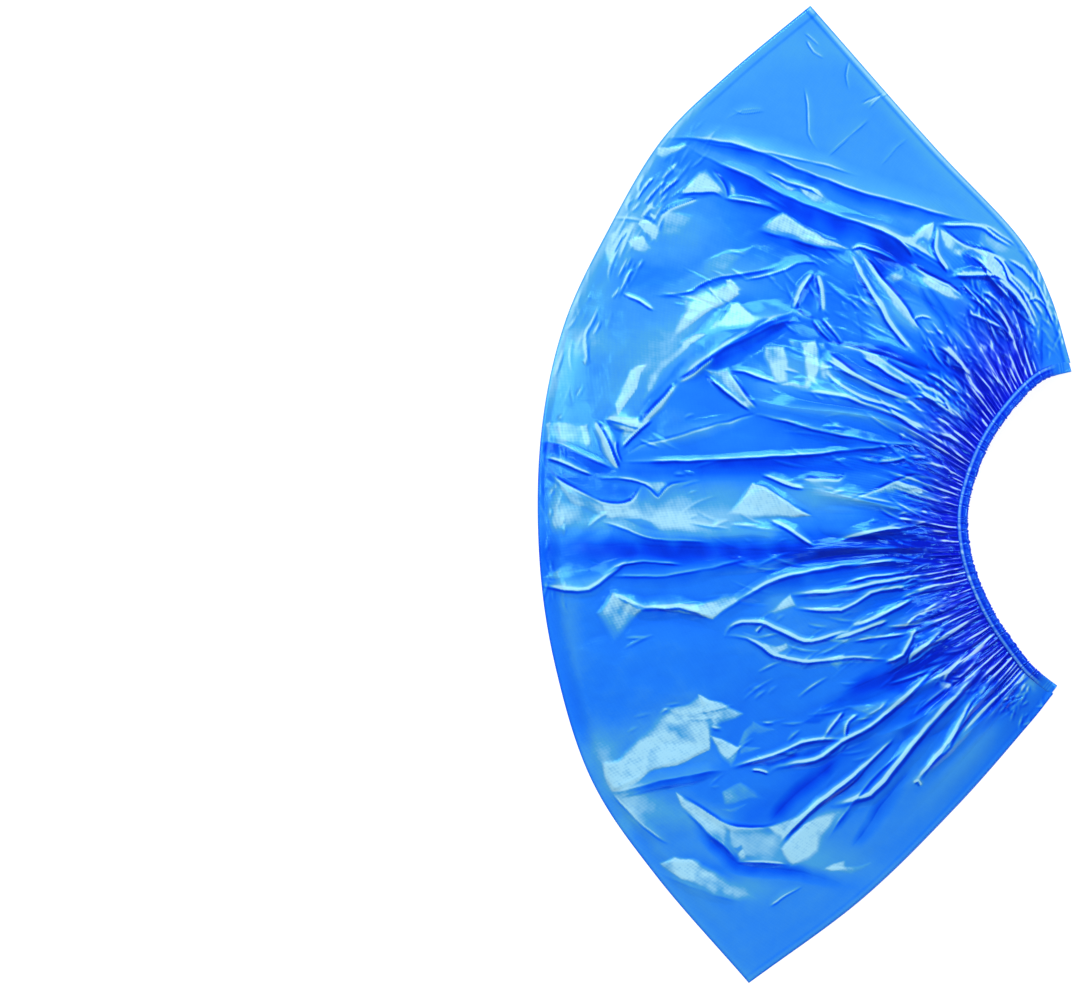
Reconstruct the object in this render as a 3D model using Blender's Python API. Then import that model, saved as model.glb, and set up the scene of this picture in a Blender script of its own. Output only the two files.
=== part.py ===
"""Disposable film shoe cover, lying flat with its gathered cuff towards +X.

The film is one web folded along the sole (the curved -X side), welded at the toe
end (+Y) and at the heel end (-Y), and open along the cuff. Two narrow hems with
an elastic thread in each gather the cuff. Metres, +Z up, standing on Z = 0, with
the origin under the middle of the whole cover.
"""

import bpy
import numpy as np

# Driving sizes, in metres.
COVER_LENGTH = 0.3457  # toe corner to heel corner
COVER_WIDTH = 0.1889  # sole fold to the far corner of the cuff
LOFT = 0.020  # rise of the slack upper film over the welds, before its folds
FILM_WALL = 0.001
WELD_WIDTH = 0.003  # fused strip along the toe and heel ends
FOLD_WIDTH = 0.003  # strip along the sole fold where the two sides touch
TAB_LENGTH = 0.007  # plain stretch of cuff between a weld and the elastic
MOUTH_RISE = 0.0068  # extra lift of the upper hem at the middle of the mouth
ELASTIC_THREAD = 0.0010  # diameter
HEM_WALL = 0.0010
HEM_OVERLAP = 0.0012  # how far a hem lies over the film's edge
CLEARANCE = 0.0003  # between pieces that touch on the real cover
PLEATS = 28  # gathers along the elastic
PLEAT_STEEPNESS = 0.62  # rise over run of the gathers' sides
HEM_RIPPLE = 0.0002  # how far the gathers still move the hem

# Sizes that follow from those.
PRESSED_FILM = 2 * FILM_WALL + CLEARANCE  # the two sides of film lying together
SLOT_HALF = FILM_WALL / 2 + CLEARANCE
CHANNEL_HALF = max(SLOT_HALF, ELASTIC_THREAD / 2 + CLEARANCE)
HEM_HALF = CHANNEL_HALF + HEM_WALL
HEM_SETBACK = HEM_WALL + CLEARANCE + ELASTIC_THREAD + CLEARANCE
HEM_WIDTH = HEM_SETBACK + HEM_OVERLAP
HEM_STACK = 2 * HEM_HALF + CLEARANCE + HEM_RIPPLE  # least rise from hem to hem
LEVEL_STRIP = HEM_OVERLAP + 3 * CLEARANCE  # film kept level where a hem holds it
HEM_START = WELD_WIDTH + TAB_LENGTH  # along the cuff from each of its corners
TAB_COLUMNS = 3  # columns of the film before the one where the hems start

# Places between the sole fold (0) and the hem (1).
UPPER_TURNS_TO_HEM = 0.30
LOWER_TURNS_TO_HEM = 0.80
PLEATS_START = 0.50
PLEATS_FULL = 0.88
PLEATS_CLOSE_UP = 0.95

# Shares that round or limit a shape.
HEM_ROUNDING = 0.45  # of half the hem's thickness
CHANNEL_ROUNDING = 0.35  # of half the channel's height
PLEATS_LEFT_AT_HEM = 0.25  # of their height
FOLDS_FADE = 0.10  # of the sole fold's length, at each weld
STEEPEST_WALL = 1.5  # upright thickness of a sloping wall over its own thickness

# Outline in plan. Each row is a share of half the width and half the length.
# The sole fold runs from the toe corner to the heel corner.
SOLE_FOLD = (
    {"across": 0.018, "along": 1.000},
    {"across": -0.285, "along": 0.862},
    {"across": -0.536, "along": 0.727},
    {"across": -0.735, "along": 0.545},
    {"across": -0.905, "along": 0.345},
    {"across": -0.990, "along": 0.120},
    {"across": -0.996, "along": -0.130},
    {"across": -0.935, "along": -0.355},
    {"across": -0.800, "along": -0.585},
    {"across": -0.560, "along": -0.780},
    {"across": -0.212, "along": -1.000},
)
# The toe weld runs from the toe corner to the cuff, and the heel weld likewise.
TOE_WELD = (
    {"across": 0.018, "along": 1.000},
    {"across": 0.472, "along": 0.713},
    {"across": 0.800, "along": 0.518},
    {"across": 0.923, "along": 0.393},
    {"across": 1.000, "along": 0.252},
)
HEEL_WELD = (
    {"across": -0.212, "along": -1.000},
    {"across": 0.217, "along": -0.824},
    {"across": 0.575, "along": -0.631},
    {"across": 0.843, "along": -0.464},
    {"across": 0.946, "along": -0.393},
)
# The hem's outer edge, from the toe weld round the mouth to the heel weld.
CUFF = (
    {"across": 1.000, "along": 0.252},
    {"across": 0.880, "along": 0.231},
    {"across": 0.770, "along": 0.174},
    {"across": 0.675, "along": 0.100},
    {"across": 0.612, "along": 0.012},
    {"across": 0.594, "along": -0.062},
    {"across": 0.622, "along": -0.150},
    {"across": 0.700, "along": -0.244},
    {"across": 0.812, "along": -0.330},
    {"across": 0.870, "along": -0.362},
    {"across": 0.946, "along": -0.393},
)

# How full the cover lies, from the toe weld (0) to the heel weld (1).
FULLNESS = (
    {"station": 0.00, "share": 0.00},
    {"station": 0.12, "share": 0.22},
    {"station": 0.25, "share": 0.55},
    {"station": 0.38, "share": 0.92},
    {"station": 0.52, "share": 1.00},
    {"station": 0.68, "share": 0.92},
    {"station": 0.82, "share": 0.60},
    {"station": 0.92, "share": 0.30},
    {"station": 1.00, "share": 0.00},
)
# The upper film's rise from the sole fold (0) to the hem (1), a row of the mesh
# for each row here.
RISE = (
    {"place": 0.00, "share": 0.00},
    {"place": 0.08, "share": 0.30},
    {"place": 0.17, "share": 0.55},
    {"place": 0.28, "share": 0.77},
    {"place": 0.39, "share": 0.93},
    {"place": 0.50, "share": 1.00},
    {"place": 0.61, "share": 0.97},
    {"place": 0.71, "share": 0.84},
    {"place": 0.80, "share": 0.62},
    {"place": 0.88, "share": 0.36},
    {"place": 0.95, "share": 0.12},
    {"place": 1.00, "share": 0.00},
)

# Main folds of the upper film. Places are shares of half the width and length,
# breadth is a share of the half width, and height a share of the loft. A
# negative height is a valley.
FOLDS = (
    {"from": (-0.50, 0.70), "to": (0.86, 0.48), "breadth": 0.10, "height": 0.16},
    {"from": (-0.45, 0.60), "to": (0.62, 0.42), "breadth": 0.09, "height": -0.14},
    {"from": (-0.30, 0.56), "to": (0.40, 0.30), "breadth": 0.10, "height": 0.16},
    {"from": (-0.66, 0.10), "to": (-0.05, 0.36), "breadth": 0.10, "height": 0.18},
    {"from": (-0.72, 0.06), "to": (0.45, 0.09), "breadth": 0.09, "height": 0.17},
    {"from": (-0.85, 0.00), "to": (0.45, 0.02), "breadth": 0.08, "height": -0.16},
    {"from": (-0.90, -0.12), "to": (0.45, -0.10), "breadth": 0.08, "height": -0.17},
    {"from": (-0.70, -0.22), "to": (0.40, -0.14), "breadth": 0.09, "height": 0.16},
    {"from": (-0.75, -0.61), "to": (0.45, -0.34), "breadth": 0.09, "height": -0.15},
    {"from": (-0.45, -0.72), "to": (0.55, -0.37), "breadth": 0.08, "height": 0.17},
    {"from": (-0.30, -0.80), "to": (0.30, -0.78), "breadth": 0.08, "height": -0.10},
)

FILM_COLOUR = (0.02, 0.17, 0.85, 1.0)
HEM_COLOUR = (0.01, 0.07, 0.62, 1.0)
ELASTIC_COLOUR = (0.55, 0.68, 0.90, 1.0)


def smooth(x, low, high):
    """0 below low, 1 above high, and an S-curve between them."""
    t = np.clip((x - low) / (high - low), 0, 1)
    return t * t * (3 - 2 * t)


def plan_curve(rows):
    """A smooth curve through a table's places, as closely spaced points in metres."""
    places = np.array([(row["across"], row["along"]) for row in rows])
    places = places * (COVER_WIDTH / 2, COVER_LENGTH / 2)
    steps = 24
    before = np.vstack([2 * places[0] - places[1], places[:-1]])[:-1]
    after = np.vstack([places[2:], 2 * places[-1] - places[-2]])
    t = np.linspace(0, 1, steps, endpoint=False)[None, :, None]
    a, b, c, d = (p[:, None, :] for p in (before, places[:-1], places[1:], after))
    points = b + 0.5 * t * (
        (c - a) + t * ((2 * a - 5 * b + 4 * c - d) + t * (3 * (b - c) + d - a))
    )
    return np.vstack([points.reshape(-1, 2), places[-1:]])


def along_curve(curve, shares):
    """The curve's points at these shares of its length."""
    steps = np.linalg.norm(np.diff(curve, axis=0), axis=1)
    reached = np.concatenate([[0], np.cumsum(steps)])
    wanted = np.asarray(shares) * reached[-1]
    return np.stack([np.interp(wanted, reached, curve[:, k]) for k in (0, 1)], -1)


def columns_of(table, *names):
    """The table's columns of these names, each as a list."""
    return [[row[name] for row in table] for name in names]


def curve_length(curve):
    return np.linalg.norm(np.diff(curve, axis=0), axis=1).sum()


def outward(points):
    """Unit normals in plan, on the right hand of the way the points run."""
    way = np.gradient(points, axis=0)
    way /= np.linalg.norm(way, axis=1)[:, None]
    return np.stack([-way[:, 1], way[:, 0]], -1)


def columns():
    """Shares along the sole fold and along the cuff of each column of the film.

    The weld and the tab have the same length on both. Between the tabs the two
    are shared out evenly, two columns to a pleat, so the cuff is gathered.
    """
    plain = np.array([0, WELD_WIDTH, WELD_WIDTH + TAB_LENGTH / 2])
    between = np.linspace(0, 1, 2 * PLEATS + 1)

    def spaced(table):
        arc = curve_length(plan_curve(table))
        gathered = HEM_START + between * (arc - 2 * HEM_START)
        return np.concatenate([plain, gathered, arc - plain[::-1]]) / arc

    return spaced(SOLE_FOLD), spaced(CUFF)


def film_plan():
    """Plan places of the film's grid, columns by rows, and each row's share v."""
    sole_shares, cuff_shares = columns()
    sole = along_curve(plan_curve(SOLE_FOLD), sole_shares)
    tip = along_curve(plan_curve(CUFF), cuff_shares)
    out = outward(tip)
    setback = np.zeros((len(sole), 1))
    setback[TAB_COLUMNS:-TAB_COLUMNS] = HEM_SETBACK
    edge = tip - out * setback
    strip = edge - out * LEVEL_STRIP

    middle = len(sole) // 2
    fold = FOLD_WIDTH / np.linalg.norm(strip[middle] - sole[middle])
    places = np.array([row["place"] for row in RISE])
    rows = np.concatenate([[0], fold + (1 - fold) * places])
    toe = along_curve(plan_curve(TOE_WELD), rows)
    heel = along_curve(plan_curve(HEEL_WELD), rows)
    toe += (strip[0] - toe[-1]) * rows[:, None]
    heel += (strip[-1] - heel[-1]) * rows[:, None]
    u = sole_shares[:, None, None]
    v = rows[None, :, None]
    ruled = (1 - v) * sole[:, None] + v * strip[:, None]
    sides = (1 - u) * toe[None] + u * heel[None]
    corners = (1 - v) * ((1 - u) * sole[0] + u * sole[-1]) + v * (
        (1 - u) * strip[0] + u * strip[-1]
    )
    plan = np.concatenate([ruled + sides - corners, edge[:, None]], axis=1)
    return plan, np.concatenate([rows, [1]]), sole_shares, cuff_shares, tip, out


def fold_heights(plan):
    """Rise of the main folds: a ridge line whose sides fall off as a bell."""
    half = np.array([COVER_WIDTH / 2, COVER_LENGTH / 2])
    rise = np.zeros(plan.shape[:2])
    for fold in FOLDS:
        start = np.array(fold["from"]) * half
        way = np.array(fold["to"]) * half - start
        reach = fold["breadth"] * half[0]
        t = ((plan - start) @ way) / (way @ way)
        off = np.linalg.norm(plan - start - np.clip(t, 0, 1)[..., None] * way, axis=-1)
        rise += fold["height"] * LOFT * np.exp(-((off / reach) ** 2))
    return rise


def mouth_shape(cuff_shares):
    """Heights of the middles of the lower and the upper film's edge at the cuff."""
    ends = HEM_START / curve_length(plan_curve(CUFF))
    s = np.clip((cuff_shares - ends) / (1 - 2 * ends), 0, 1)
    hemmed = smooth(np.minimum(cuff_shares, 1 - cuff_shares), 0, ends)
    pressed = PRESSED_FILM / 2
    lower = pressed + (HEM_HALF - pressed) * hemmed
    bell = np.sin(np.pi * s) ** 0.8
    upper = lower + HEM_STACK * hemmed + MOUTH_RISE * bell
    return lower, upper


def film_heights(plan, v, sole_shares, cuff_shares):
    """Outer heights of the upper and the lower film over the grid."""
    count = len(sole_shares)
    fullness = np.interp(sole_shares, *columns_of(FULLNESS, "station", "share"))
    lower_edge, upper_edge = mouth_shape(cuff_shares)
    upper_edge = upper_edge + FILM_WALL / 2
    lower_edge = lower_edge - FILM_WALL / 2

    # The upper film rises from the sole fold, lies slack and comes down to the
    # hem. The lower film lies on the floor and lifts to its hem.
    to_hem = smooth(v, UPPER_TURNS_TO_HEM, 1)
    rise = np.interp(v, *columns_of(RISE, "place", "share"))
    slack = fullness[:, None] * rise[None, :]
    upper = PRESSED_FILM * (1 - to_hem) + upper_edge[:, None] * to_hem + LOFT * slack
    lower = lower_edge[:, None] * smooth(v, LOWER_TURNS_TO_HEM, 1)

    # Folds die out at the welds, at the sole fold and in the hem.
    inside = smooth(np.minimum(sole_shares, 1 - sole_shares), 0, FOLDS_FADE)[:, None]
    upper = upper + fold_heights(plan) * inside * rise

    # The gathers are a zigzag from column to column, sharpest before the hem.
    zigzag = np.where(np.arange(count) % 2 == 0, 1.0, -1.0)[:, None]
    zigzag[:TAB_COLUMNS] = 0
    zigzag[-TAB_COLUMNS:] = 0
    step = np.linalg.norm(np.diff(plan, axis=0), axis=2)
    step = np.vstack([step, step[-1:]])
    closing_up = (1 - PLEATS_LEFT_AT_HEM) * smooth(v, PLEATS_CLOSE_UP, 1)
    near_cuff = smooth(v, PLEATS_START, PLEATS_FULL) * (1 - closing_up)
    pleat = zigzag * step * PLEAT_STEEPNESS / 2 * near_cuff
    upper = upper + pleat
    lower = lower + np.maximum(pleat, 0) * inside * (v < 1)

    # In the hem only a ripple is left of them, on the upper side.
    upper[:, -2:] = upper_edge[:, None] + HEM_RIPPLE * zigzag
    return upper, lower


def slope_factor(plan, heights):
    """How much thicker a wall stands, measured upright, than square to itself."""
    along = np.gradient(heights, axis=0) / np.maximum(
        np.linalg.norm(np.gradient(plan, axis=0), axis=2), 1e-6
    )
    across = np.gradient(heights, axis=1) / np.maximum(
        np.linalg.norm(np.gradient(plan, axis=1), axis=2), 1e-6
    )
    return np.minimum(np.sqrt(1 + along**2 + across**2), STEEPEST_WALL)


class Shell:
    """Collects points and triangles, and makes an object of them."""

    def __init__(self):
        self.points = []
        self.faces = []

    def grid(self, plan, heights):
        """Adds a grid of points and returns their indices in the same layout."""
        first = sum(len(p) for p in self.points)
        xyz = np.concatenate([plan, heights[..., None]], axis=-1)
        self.points.append(xyz.reshape(-1, 3))
        return first + np.arange(heights.size).reshape(heights.shape)

    def quads(self, a, b, c, d):
        """Two triangles for each quad a, b, c, d, on the diagonal a to c."""
        a, b, c, d = (np.asarray(k).ravel() for k in (a, b, c, d))
        self.faces.append(np.stack([a, b, c], -1))
        self.faces.append(np.stack([a, c, d], -1))

    def sheet(self, ids, upwards):
        """Covers a grid of indices, facing up or down.

        The diagonals of the second half are turned, so that no triangle at a
        corner of the grid has all its points on the edge.
        """
        half = len(ids) // 2
        for part, turned in ((ids[: half + 1], False), (ids[half:], True)):
            a, b = part[:-1, :-1], part[1:, :-1]
            c, d = part[1:, 1:], part[:-1, 1:]
            if turned:
                a, b, c, d = b, c, d, a
            if upwards:
                self.quads(a, b, c, d)
            else:
                self.quads(a, d, c, b)

    def wall(self, upper, lower):
        """Closes the space between two runs of points.

        It faces to the left of the way that the runs go, seen with the upper
        run on top.
        """
        self.quads(upper[:-1], upper[1:], lower[1:], lower[:-1])

    def made(self, name, material):
        mesh = bpy.data.meshes.new(name)
        points = np.vstack(self.points)
        faces = np.vstack(self.faces)
        used, faces = np.unique(faces, return_inverse=True)
        mesh.from_pydata(points[used].tolist(), [], faces.reshape(-1, 3).tolist())
        mesh.materials.append(material)
        mesh.validate()
        obj = bpy.data.objects.new(name, mesh)
        bpy.context.collection.objects.link(obj)
        return obj


def film_pouch(grid, material):
    """The hollow pouch: an outer skin and a cavity, both open at the cuff.

    The cavity keeps one column away from the welds' edges and one row away from
    the sole fold's edge, where the two sides of film are one.
    """
    plan, upper, lower = grid["plan"], grid["upper"], grid["lower"]
    wall_up = FILM_WALL * slope_factor(plan, upper)
    wall_low = FILM_WALL * slope_factor(plan, lower)
    wall_up[:, -2:] = FILM_WALL
    wall_low[:, -2:] = FILM_WALL
    upper = np.maximum(upper, lower + wall_up + wall_low + CLEARANCE)

    shell = Shell()
    top = shell.grid(plan, upper)
    bottom = shell.grid(plan, lower)
    shell.sheet(top, upwards=True)
    shell.sheet(bottom, upwards=False)
    shell.wall(top[0], bottom[0])
    shell.wall(top[-1, ::-1], bottom[-1, ::-1])
    shell.wall(top[::-1, 0], bottom[::-1, 0])

    hole = np.s_[1:-1, 1:]
    ceiling = shell.grid(plan[hole], (upper - wall_up)[hole])
    floor = shell.grid(plan[hole], (lower + wall_low)[hole])
    shell.sheet(ceiling, upwards=False)
    shell.sheet(floor, upwards=True)
    shell.wall(floor[0], ceiling[0])
    shell.wall(floor[-1, ::-1], ceiling[-1, ::-1])
    shell.wall(floor[::-1, 0], ceiling[::-1, 0])

    # The cut edges of the film at the mouth, and the welds' ends beside them.
    shell.wall(top[1:-1, -1], ceiling[:, -1])
    shell.wall(floor[:, -1], bottom[1:-1, -1])
    for end, near, order in ((0, 1, 1), (-1, -2, -1)):
        inner = 0 if end == 0 else -1
        ring = [top[near, -1], ceiling[inner, -1], floor[inner, -1]]
        ring = (ring + [bottom[near, -1], bottom[end, -1]])[::order]
        corner = top[end, -1]
        fan = [(corner, a, b) for a, b in zip(ring[:-1], ring[1:])]
        shell.faces.append(np.array(fan))
    return shell.made("film_pouch", material)


def swept(name, grid, centre, profile, closed, material):
    """A solid of one section carried along the cuff.

    profile holds (inwards, up) pairs. A closed profile is a ring with fan ends;
    an open one lists an outer run and an inner run of as many points, which
    make the outer and the inner face of a folded strip.
    """
    tip, out = grid["tip"], grid["out"]
    shell = Shell()
    rows = []
    for inwards, up in profile:
        plan = tip - out * np.asarray(inwards)[..., None]
        rows.append(np.concatenate([plan, (centre + up)[:, None]], axis=1))
    points = np.stack(rows, axis=1)[grid["hemmed"]]
    ids = shell.grid(points[..., :2], points[..., 2])
    ring = np.concatenate([ids, ids[:, :1]], axis=1)
    shell.quads(ring[:-1, :-1], ring[1:, :-1], ring[1:, 1:], ring[:-1, 1:])
    half = ids.shape[1] // 2
    for end, flip in ((ids[0], False), (ids[-1], True)):
        if closed:
            fan = [(end[0], end[k], end[k + 1]) for k in range(1, len(end) - 1)]
        else:
            outer, inner = end[:half], end[half:][::-1]
            fan = []
            for k in range(half - 1):
                fan.append((outer[k], outer[k + 1], inner[k + 1]))
                fan.append((outer[k], inner[k + 1], inner[k]))
        fan = np.array(fan)
        shell.faces.append(fan[:, ::-1] if flip else fan)
    return shell.made(name, material)


def hem(name, grid, centre, material):
    """The film folded back over the elastic: a U that takes the film's edge."""
    bend = HEM_HALF * HEM_ROUNDING
    ruffle = np.where(np.arange(len(centre)) % 2 == 0, 0.0, HEM_RIPPLE)
    wall, lip = HEM_WALL, CHANNEL_HALF * CHANNEL_ROUNDING
    outer = [
        (HEM_WIDTH, HEM_HALF),
        (bend, HEM_HALF),
        (ruffle, HEM_HALF - bend),
        (ruffle, bend - HEM_HALF),
        (bend, -HEM_HALF),
        (HEM_WIDTH, -HEM_HALF),
    ]
    inner = [
        (HEM_WIDTH, -CHANNEL_HALF),
        (wall + lip, -CHANNEL_HALF),
        (wall, lip - CHANNEL_HALF),
        (wall, CHANNEL_HALF - lip),
        (wall + lip, CHANNEL_HALF),
        (HEM_WIDTH, CHANNEL_HALF),
    ]
    return swept(name, grid, centre, outer + inner, False, material)


def elastic(name, grid, centre, material):
    """The elastic thread, which lies in the bend of its hem."""
    sides = 6
    angles = 2 * np.pi * np.arange(sides) / sides
    radius = ELASTIC_THREAD / 2
    middle = HEM_WALL + CLEARANCE + radius
    profile = [(middle - radius * np.cos(a), radius * np.sin(a)) for a in angles]
    return swept(name, grid, centre, profile[::-1], True, material)


def finish(name, colour, roughness):
    material = bpy.data.materials.new(name)
    material.use_nodes = True
    shader = material.node_tree.nodes["Principled BSDF"]
    shader.inputs["Base Color"].default_value = colour
    shader.inputs["Roughness"].default_value = roughness
    shader.inputs["Metallic"].default_value = 0.0
    material.diffuse_color = colour
    return material


def main():
    for obj in list(bpy.data.objects):
        bpy.data.objects.remove(obj)
    plan, v, sole_shares, cuff_shares, tip, out = film_plan()
    upper, lower = film_heights(plan, v, sole_shares, cuff_shares)
    grid = {
        "plan": plan,
        "upper": upper,
        "lower": lower,
        "tip": tip,
        "out": out,
        "hemmed": np.s_[TAB_COLUMNS:-TAB_COLUMNS],
    }
    lower_middle = lower[:, -1] + FILM_WALL / 2
    upper_middle = upper[:, -1] - FILM_WALL / 2
    film = finish("blue_film", FILM_COLOUR, 0.25)
    hem_film = finish("gathered_hem_film", HEM_COLOUR, 0.35)
    rubber = finish("elastic_rubber", ELASTIC_COLOUR, 0.6)
    film_pouch(grid, film)
    hem("upper_hem", grid, upper_middle, hem_film)
    hem("lower_hem", grid, lower_middle, hem_film)
    elastic("upper_elastic", grid, upper_middle, rubber)
    elastic("lower_elastic", grid, lower_middle, rubber)


main()
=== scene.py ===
import bpy
import numpy as np
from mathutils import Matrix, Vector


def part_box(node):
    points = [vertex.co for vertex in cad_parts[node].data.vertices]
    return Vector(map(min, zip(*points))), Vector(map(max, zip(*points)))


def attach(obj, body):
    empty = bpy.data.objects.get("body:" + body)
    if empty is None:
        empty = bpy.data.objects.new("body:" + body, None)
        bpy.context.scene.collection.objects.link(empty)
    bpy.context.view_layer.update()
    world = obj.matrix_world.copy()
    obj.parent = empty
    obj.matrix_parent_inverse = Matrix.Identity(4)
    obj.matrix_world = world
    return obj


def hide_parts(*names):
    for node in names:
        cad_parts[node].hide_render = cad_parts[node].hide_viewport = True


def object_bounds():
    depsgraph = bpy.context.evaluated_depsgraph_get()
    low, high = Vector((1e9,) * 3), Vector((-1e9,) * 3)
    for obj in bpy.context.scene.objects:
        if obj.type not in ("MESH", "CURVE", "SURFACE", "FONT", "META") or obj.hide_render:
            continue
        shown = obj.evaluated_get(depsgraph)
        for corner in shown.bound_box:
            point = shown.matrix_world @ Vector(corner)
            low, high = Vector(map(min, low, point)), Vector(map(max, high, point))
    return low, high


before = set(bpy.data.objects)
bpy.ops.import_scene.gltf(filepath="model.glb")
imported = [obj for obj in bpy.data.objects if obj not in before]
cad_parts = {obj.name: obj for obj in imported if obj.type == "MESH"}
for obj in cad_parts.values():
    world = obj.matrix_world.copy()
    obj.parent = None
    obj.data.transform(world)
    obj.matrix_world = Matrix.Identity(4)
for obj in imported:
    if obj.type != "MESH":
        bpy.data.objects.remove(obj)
cadBox = [list(corner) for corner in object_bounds()]
mm = 0.001
coverLow, coverHigh = (np.array(corner) for corner in cadBox)
halfSize = (coverHigh - coverLow)[:2] / 2
coverMiddle = (coverHigh + coverLow)[:2] / 2
print("frame loaded, cover", np.round((coverHigh - coverLow) / mm, 1), "mm")


# Shared shape helpers

def smooth(x, low, high):
    # 0 below low, 1 above high, t*t*(3-2t) between
    t = np.clip((x - low) / (high - low), 0, 1)
    return t * t * (3 - 2 * t)


def bell(x, middle, width):
    # exp(-r^2), r the distance from the middle in widths
    return np.exp(-(((x - middle) / width) ** 2))


def swirl(x, y, size, seed):
    # Gradient noise: a random slope at each lattice corner, blended with 6t^5-15t^4+10t^3
    angle = np.random.default_rng(seed).uniform(0, 2 * np.pi, (97, 97))
    px, py = x / size + 40.3, y / size + 40.7
    ix, iy = np.floor(px).astype(int), np.floor(py).astype(int)
    fx, fy = px - ix, py - iy

    def corner(dx, dy):
        a = angle[(ix + dx) % 97, (iy + dy) % 97]
        return np.cos(a) * (fx - dx) + np.sin(a) * (fy - dy)

    bx, by = (t**3 * (t * (6 * t - 15) + 10) for t in (fx, fy))
    low = corner(0, 0) * (1 - bx) + corner(1, 0) * bx
    high = corner(0, 1) * (1 - bx) + corner(1, 1) * bx
    return (low * (1 - by) + high * by) * 1.5


def facets(x, y, size, seed):
    # Random heights at the corners of a triangle lattice, joined by flat triangles
    height = np.random.default_rng(seed).uniform(-1, 1, (89, 89))
    px = x / size + 40.3 + 0.5 * (y / size)
    py = y / size + 40.7
    ix, iy = np.floor(px).astype(int), np.floor(py).astype(int)
    fx, fy = px - ix, py - iy
    corner = height[ix % 89, iy % 89]
    far = height[(ix + 1) % 89, (iy + 1) % 89]
    right, top = height[(ix + 1) % 89, iy % 89], height[ix % 89, (iy + 1) % 89]
    lower = corner * (1 - fx) + right * (fx - fy) + far * fy
    upper = corner * (1 - fy) + top * (fy - fx) + far * fx
    return np.where(fx > fy, lower, upper)


def through(points, steps=24):
    # Smooth curve through the points, closely spaced: cubic stretches whose slope at a point is
    # half the step from the point before it to the point after it
    p = np.array(points, float)
    before = np.vstack([2 * p[0] - p[1], p[:-2]])
    after = np.vstack([p[2:], 2 * p[-1] - p[-2]])
    t = np.linspace(0, 1, steps, endpoint=False)[None, :, None]
    a, b, c, d = (q[:, None, :] for q in (before, p[:-1], p[1:], after))
    bend = 2 * a - 5 * b + 4 * c - d + t * (3 * (b - c) + d - a)
    return np.vstack([(b + 0.5 * t * (c - a + t * bend)).reshape(-1, p.shape[1]), p[-1:]])


def arcOf(curve):
    # Length along the curve at each of its points
    return np.concatenate([[0], np.cumsum(np.linalg.norm(np.diff(curve, axis=0), axis=1))])


def alongCurve(curve, shares):
    # Points of the curve at these shares of its length
    arc = arcOf(curve)
    return np.stack([np.interp(shares * arc[-1], arc, c) for c in curve.T], -1)


def blur(values, reach, rounds=2):
    # Box blur over the grid, run both ways a few times
    for _ in range(rounds):
        for axis in (0, 1):
            pad = [(0, 0), (0, 0)]
            pad[axis] = (reach + 1, reach)
            total = np.cumsum(np.pad(values, pad, mode="edge"), axis=axis)
            span = 2 * reach + 1
            ahead = np.take(total, range(span, total.shape[axis]), axis=axis)
            behind = np.take(total, range(total.shape[axis] - span), axis=axis)
            values = (ahead - behind) / span
    return values


def surfaceMesh(name, points, material, uv=None, tone=None, ring=False, upwards=True):
    # A grid of points (steps, steps across, 3) as quads. A ring closes round the second way,
    # with a flat cap at either end
    steps, across = points.shape[:2]
    index = np.arange(steps * across).reshape(steps, across)
    if ring:
        index = np.concatenate([index, index[:, :1]], axis=1)
    a, b, c, d = index[:-1, :-1], index[1:, :-1], index[1:, 1:], index[:-1, 1:]
    faces = np.stack([a, b, c, d] if upwards else [a, d, c, b], -1).reshape(-1, 4)
    corners = faces.reshape(-1)
    starts = np.arange(0, faces.size, 4)
    if ring:
        first, last = index[0, :-1], index[-1, :-1]
        ends = [first, last[::-1]] if upwards else [first[::-1], last]
        starts = np.append(starts, [corners.size, corners.size + across])
        corners = np.concatenate([corners, *ends])
    mesh = bpy.data.meshes.new(name)
    mesh.vertices.add(steps * across)
    mesh.vertices.foreach_set("co", points.reshape(-1).astype(np.float32))
    mesh.loops.add(corners.size)
    mesh.loops.foreach_set("vertex_index", corners.astype(np.int32))
    mesh.polygons.add(len(starts))
    mesh.polygons.foreach_set("loop_start", starts.astype(np.int32))
    mesh.polygons.foreach_set("use_smooth", np.ones(len(starts), bool))
    if uv is not None:
        layer = mesh.uv_layers.new(name="filmUv")
        layer.uv.foreach_set("vector", uv.reshape(-1, 2)[corners].reshape(-1))
    for toneName, values in (tone or {}).items():
        layer = mesh.attributes.new(toneName, "FLOAT", "POINT")
        layer.data.foreach_set("value", values.reshape(-1).astype(np.float32))
    mesh.update(calc_edges=True)
    mesh.validate()
    mesh.materials.append(material)
    piece = bpy.data.objects.new(name, mesh)
    bpy.context.collection.objects.link(piece)
    return piece


# Materials

def blankMaterial(name):
    # A new material with no nodes yet
    material = bpy.data.materials.new(name)
    material.use_nodes = True
    nodes, links = material.node_tree.nodes, material.node_tree.links
    nodes.clear()
    return material, nodes, links


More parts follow.
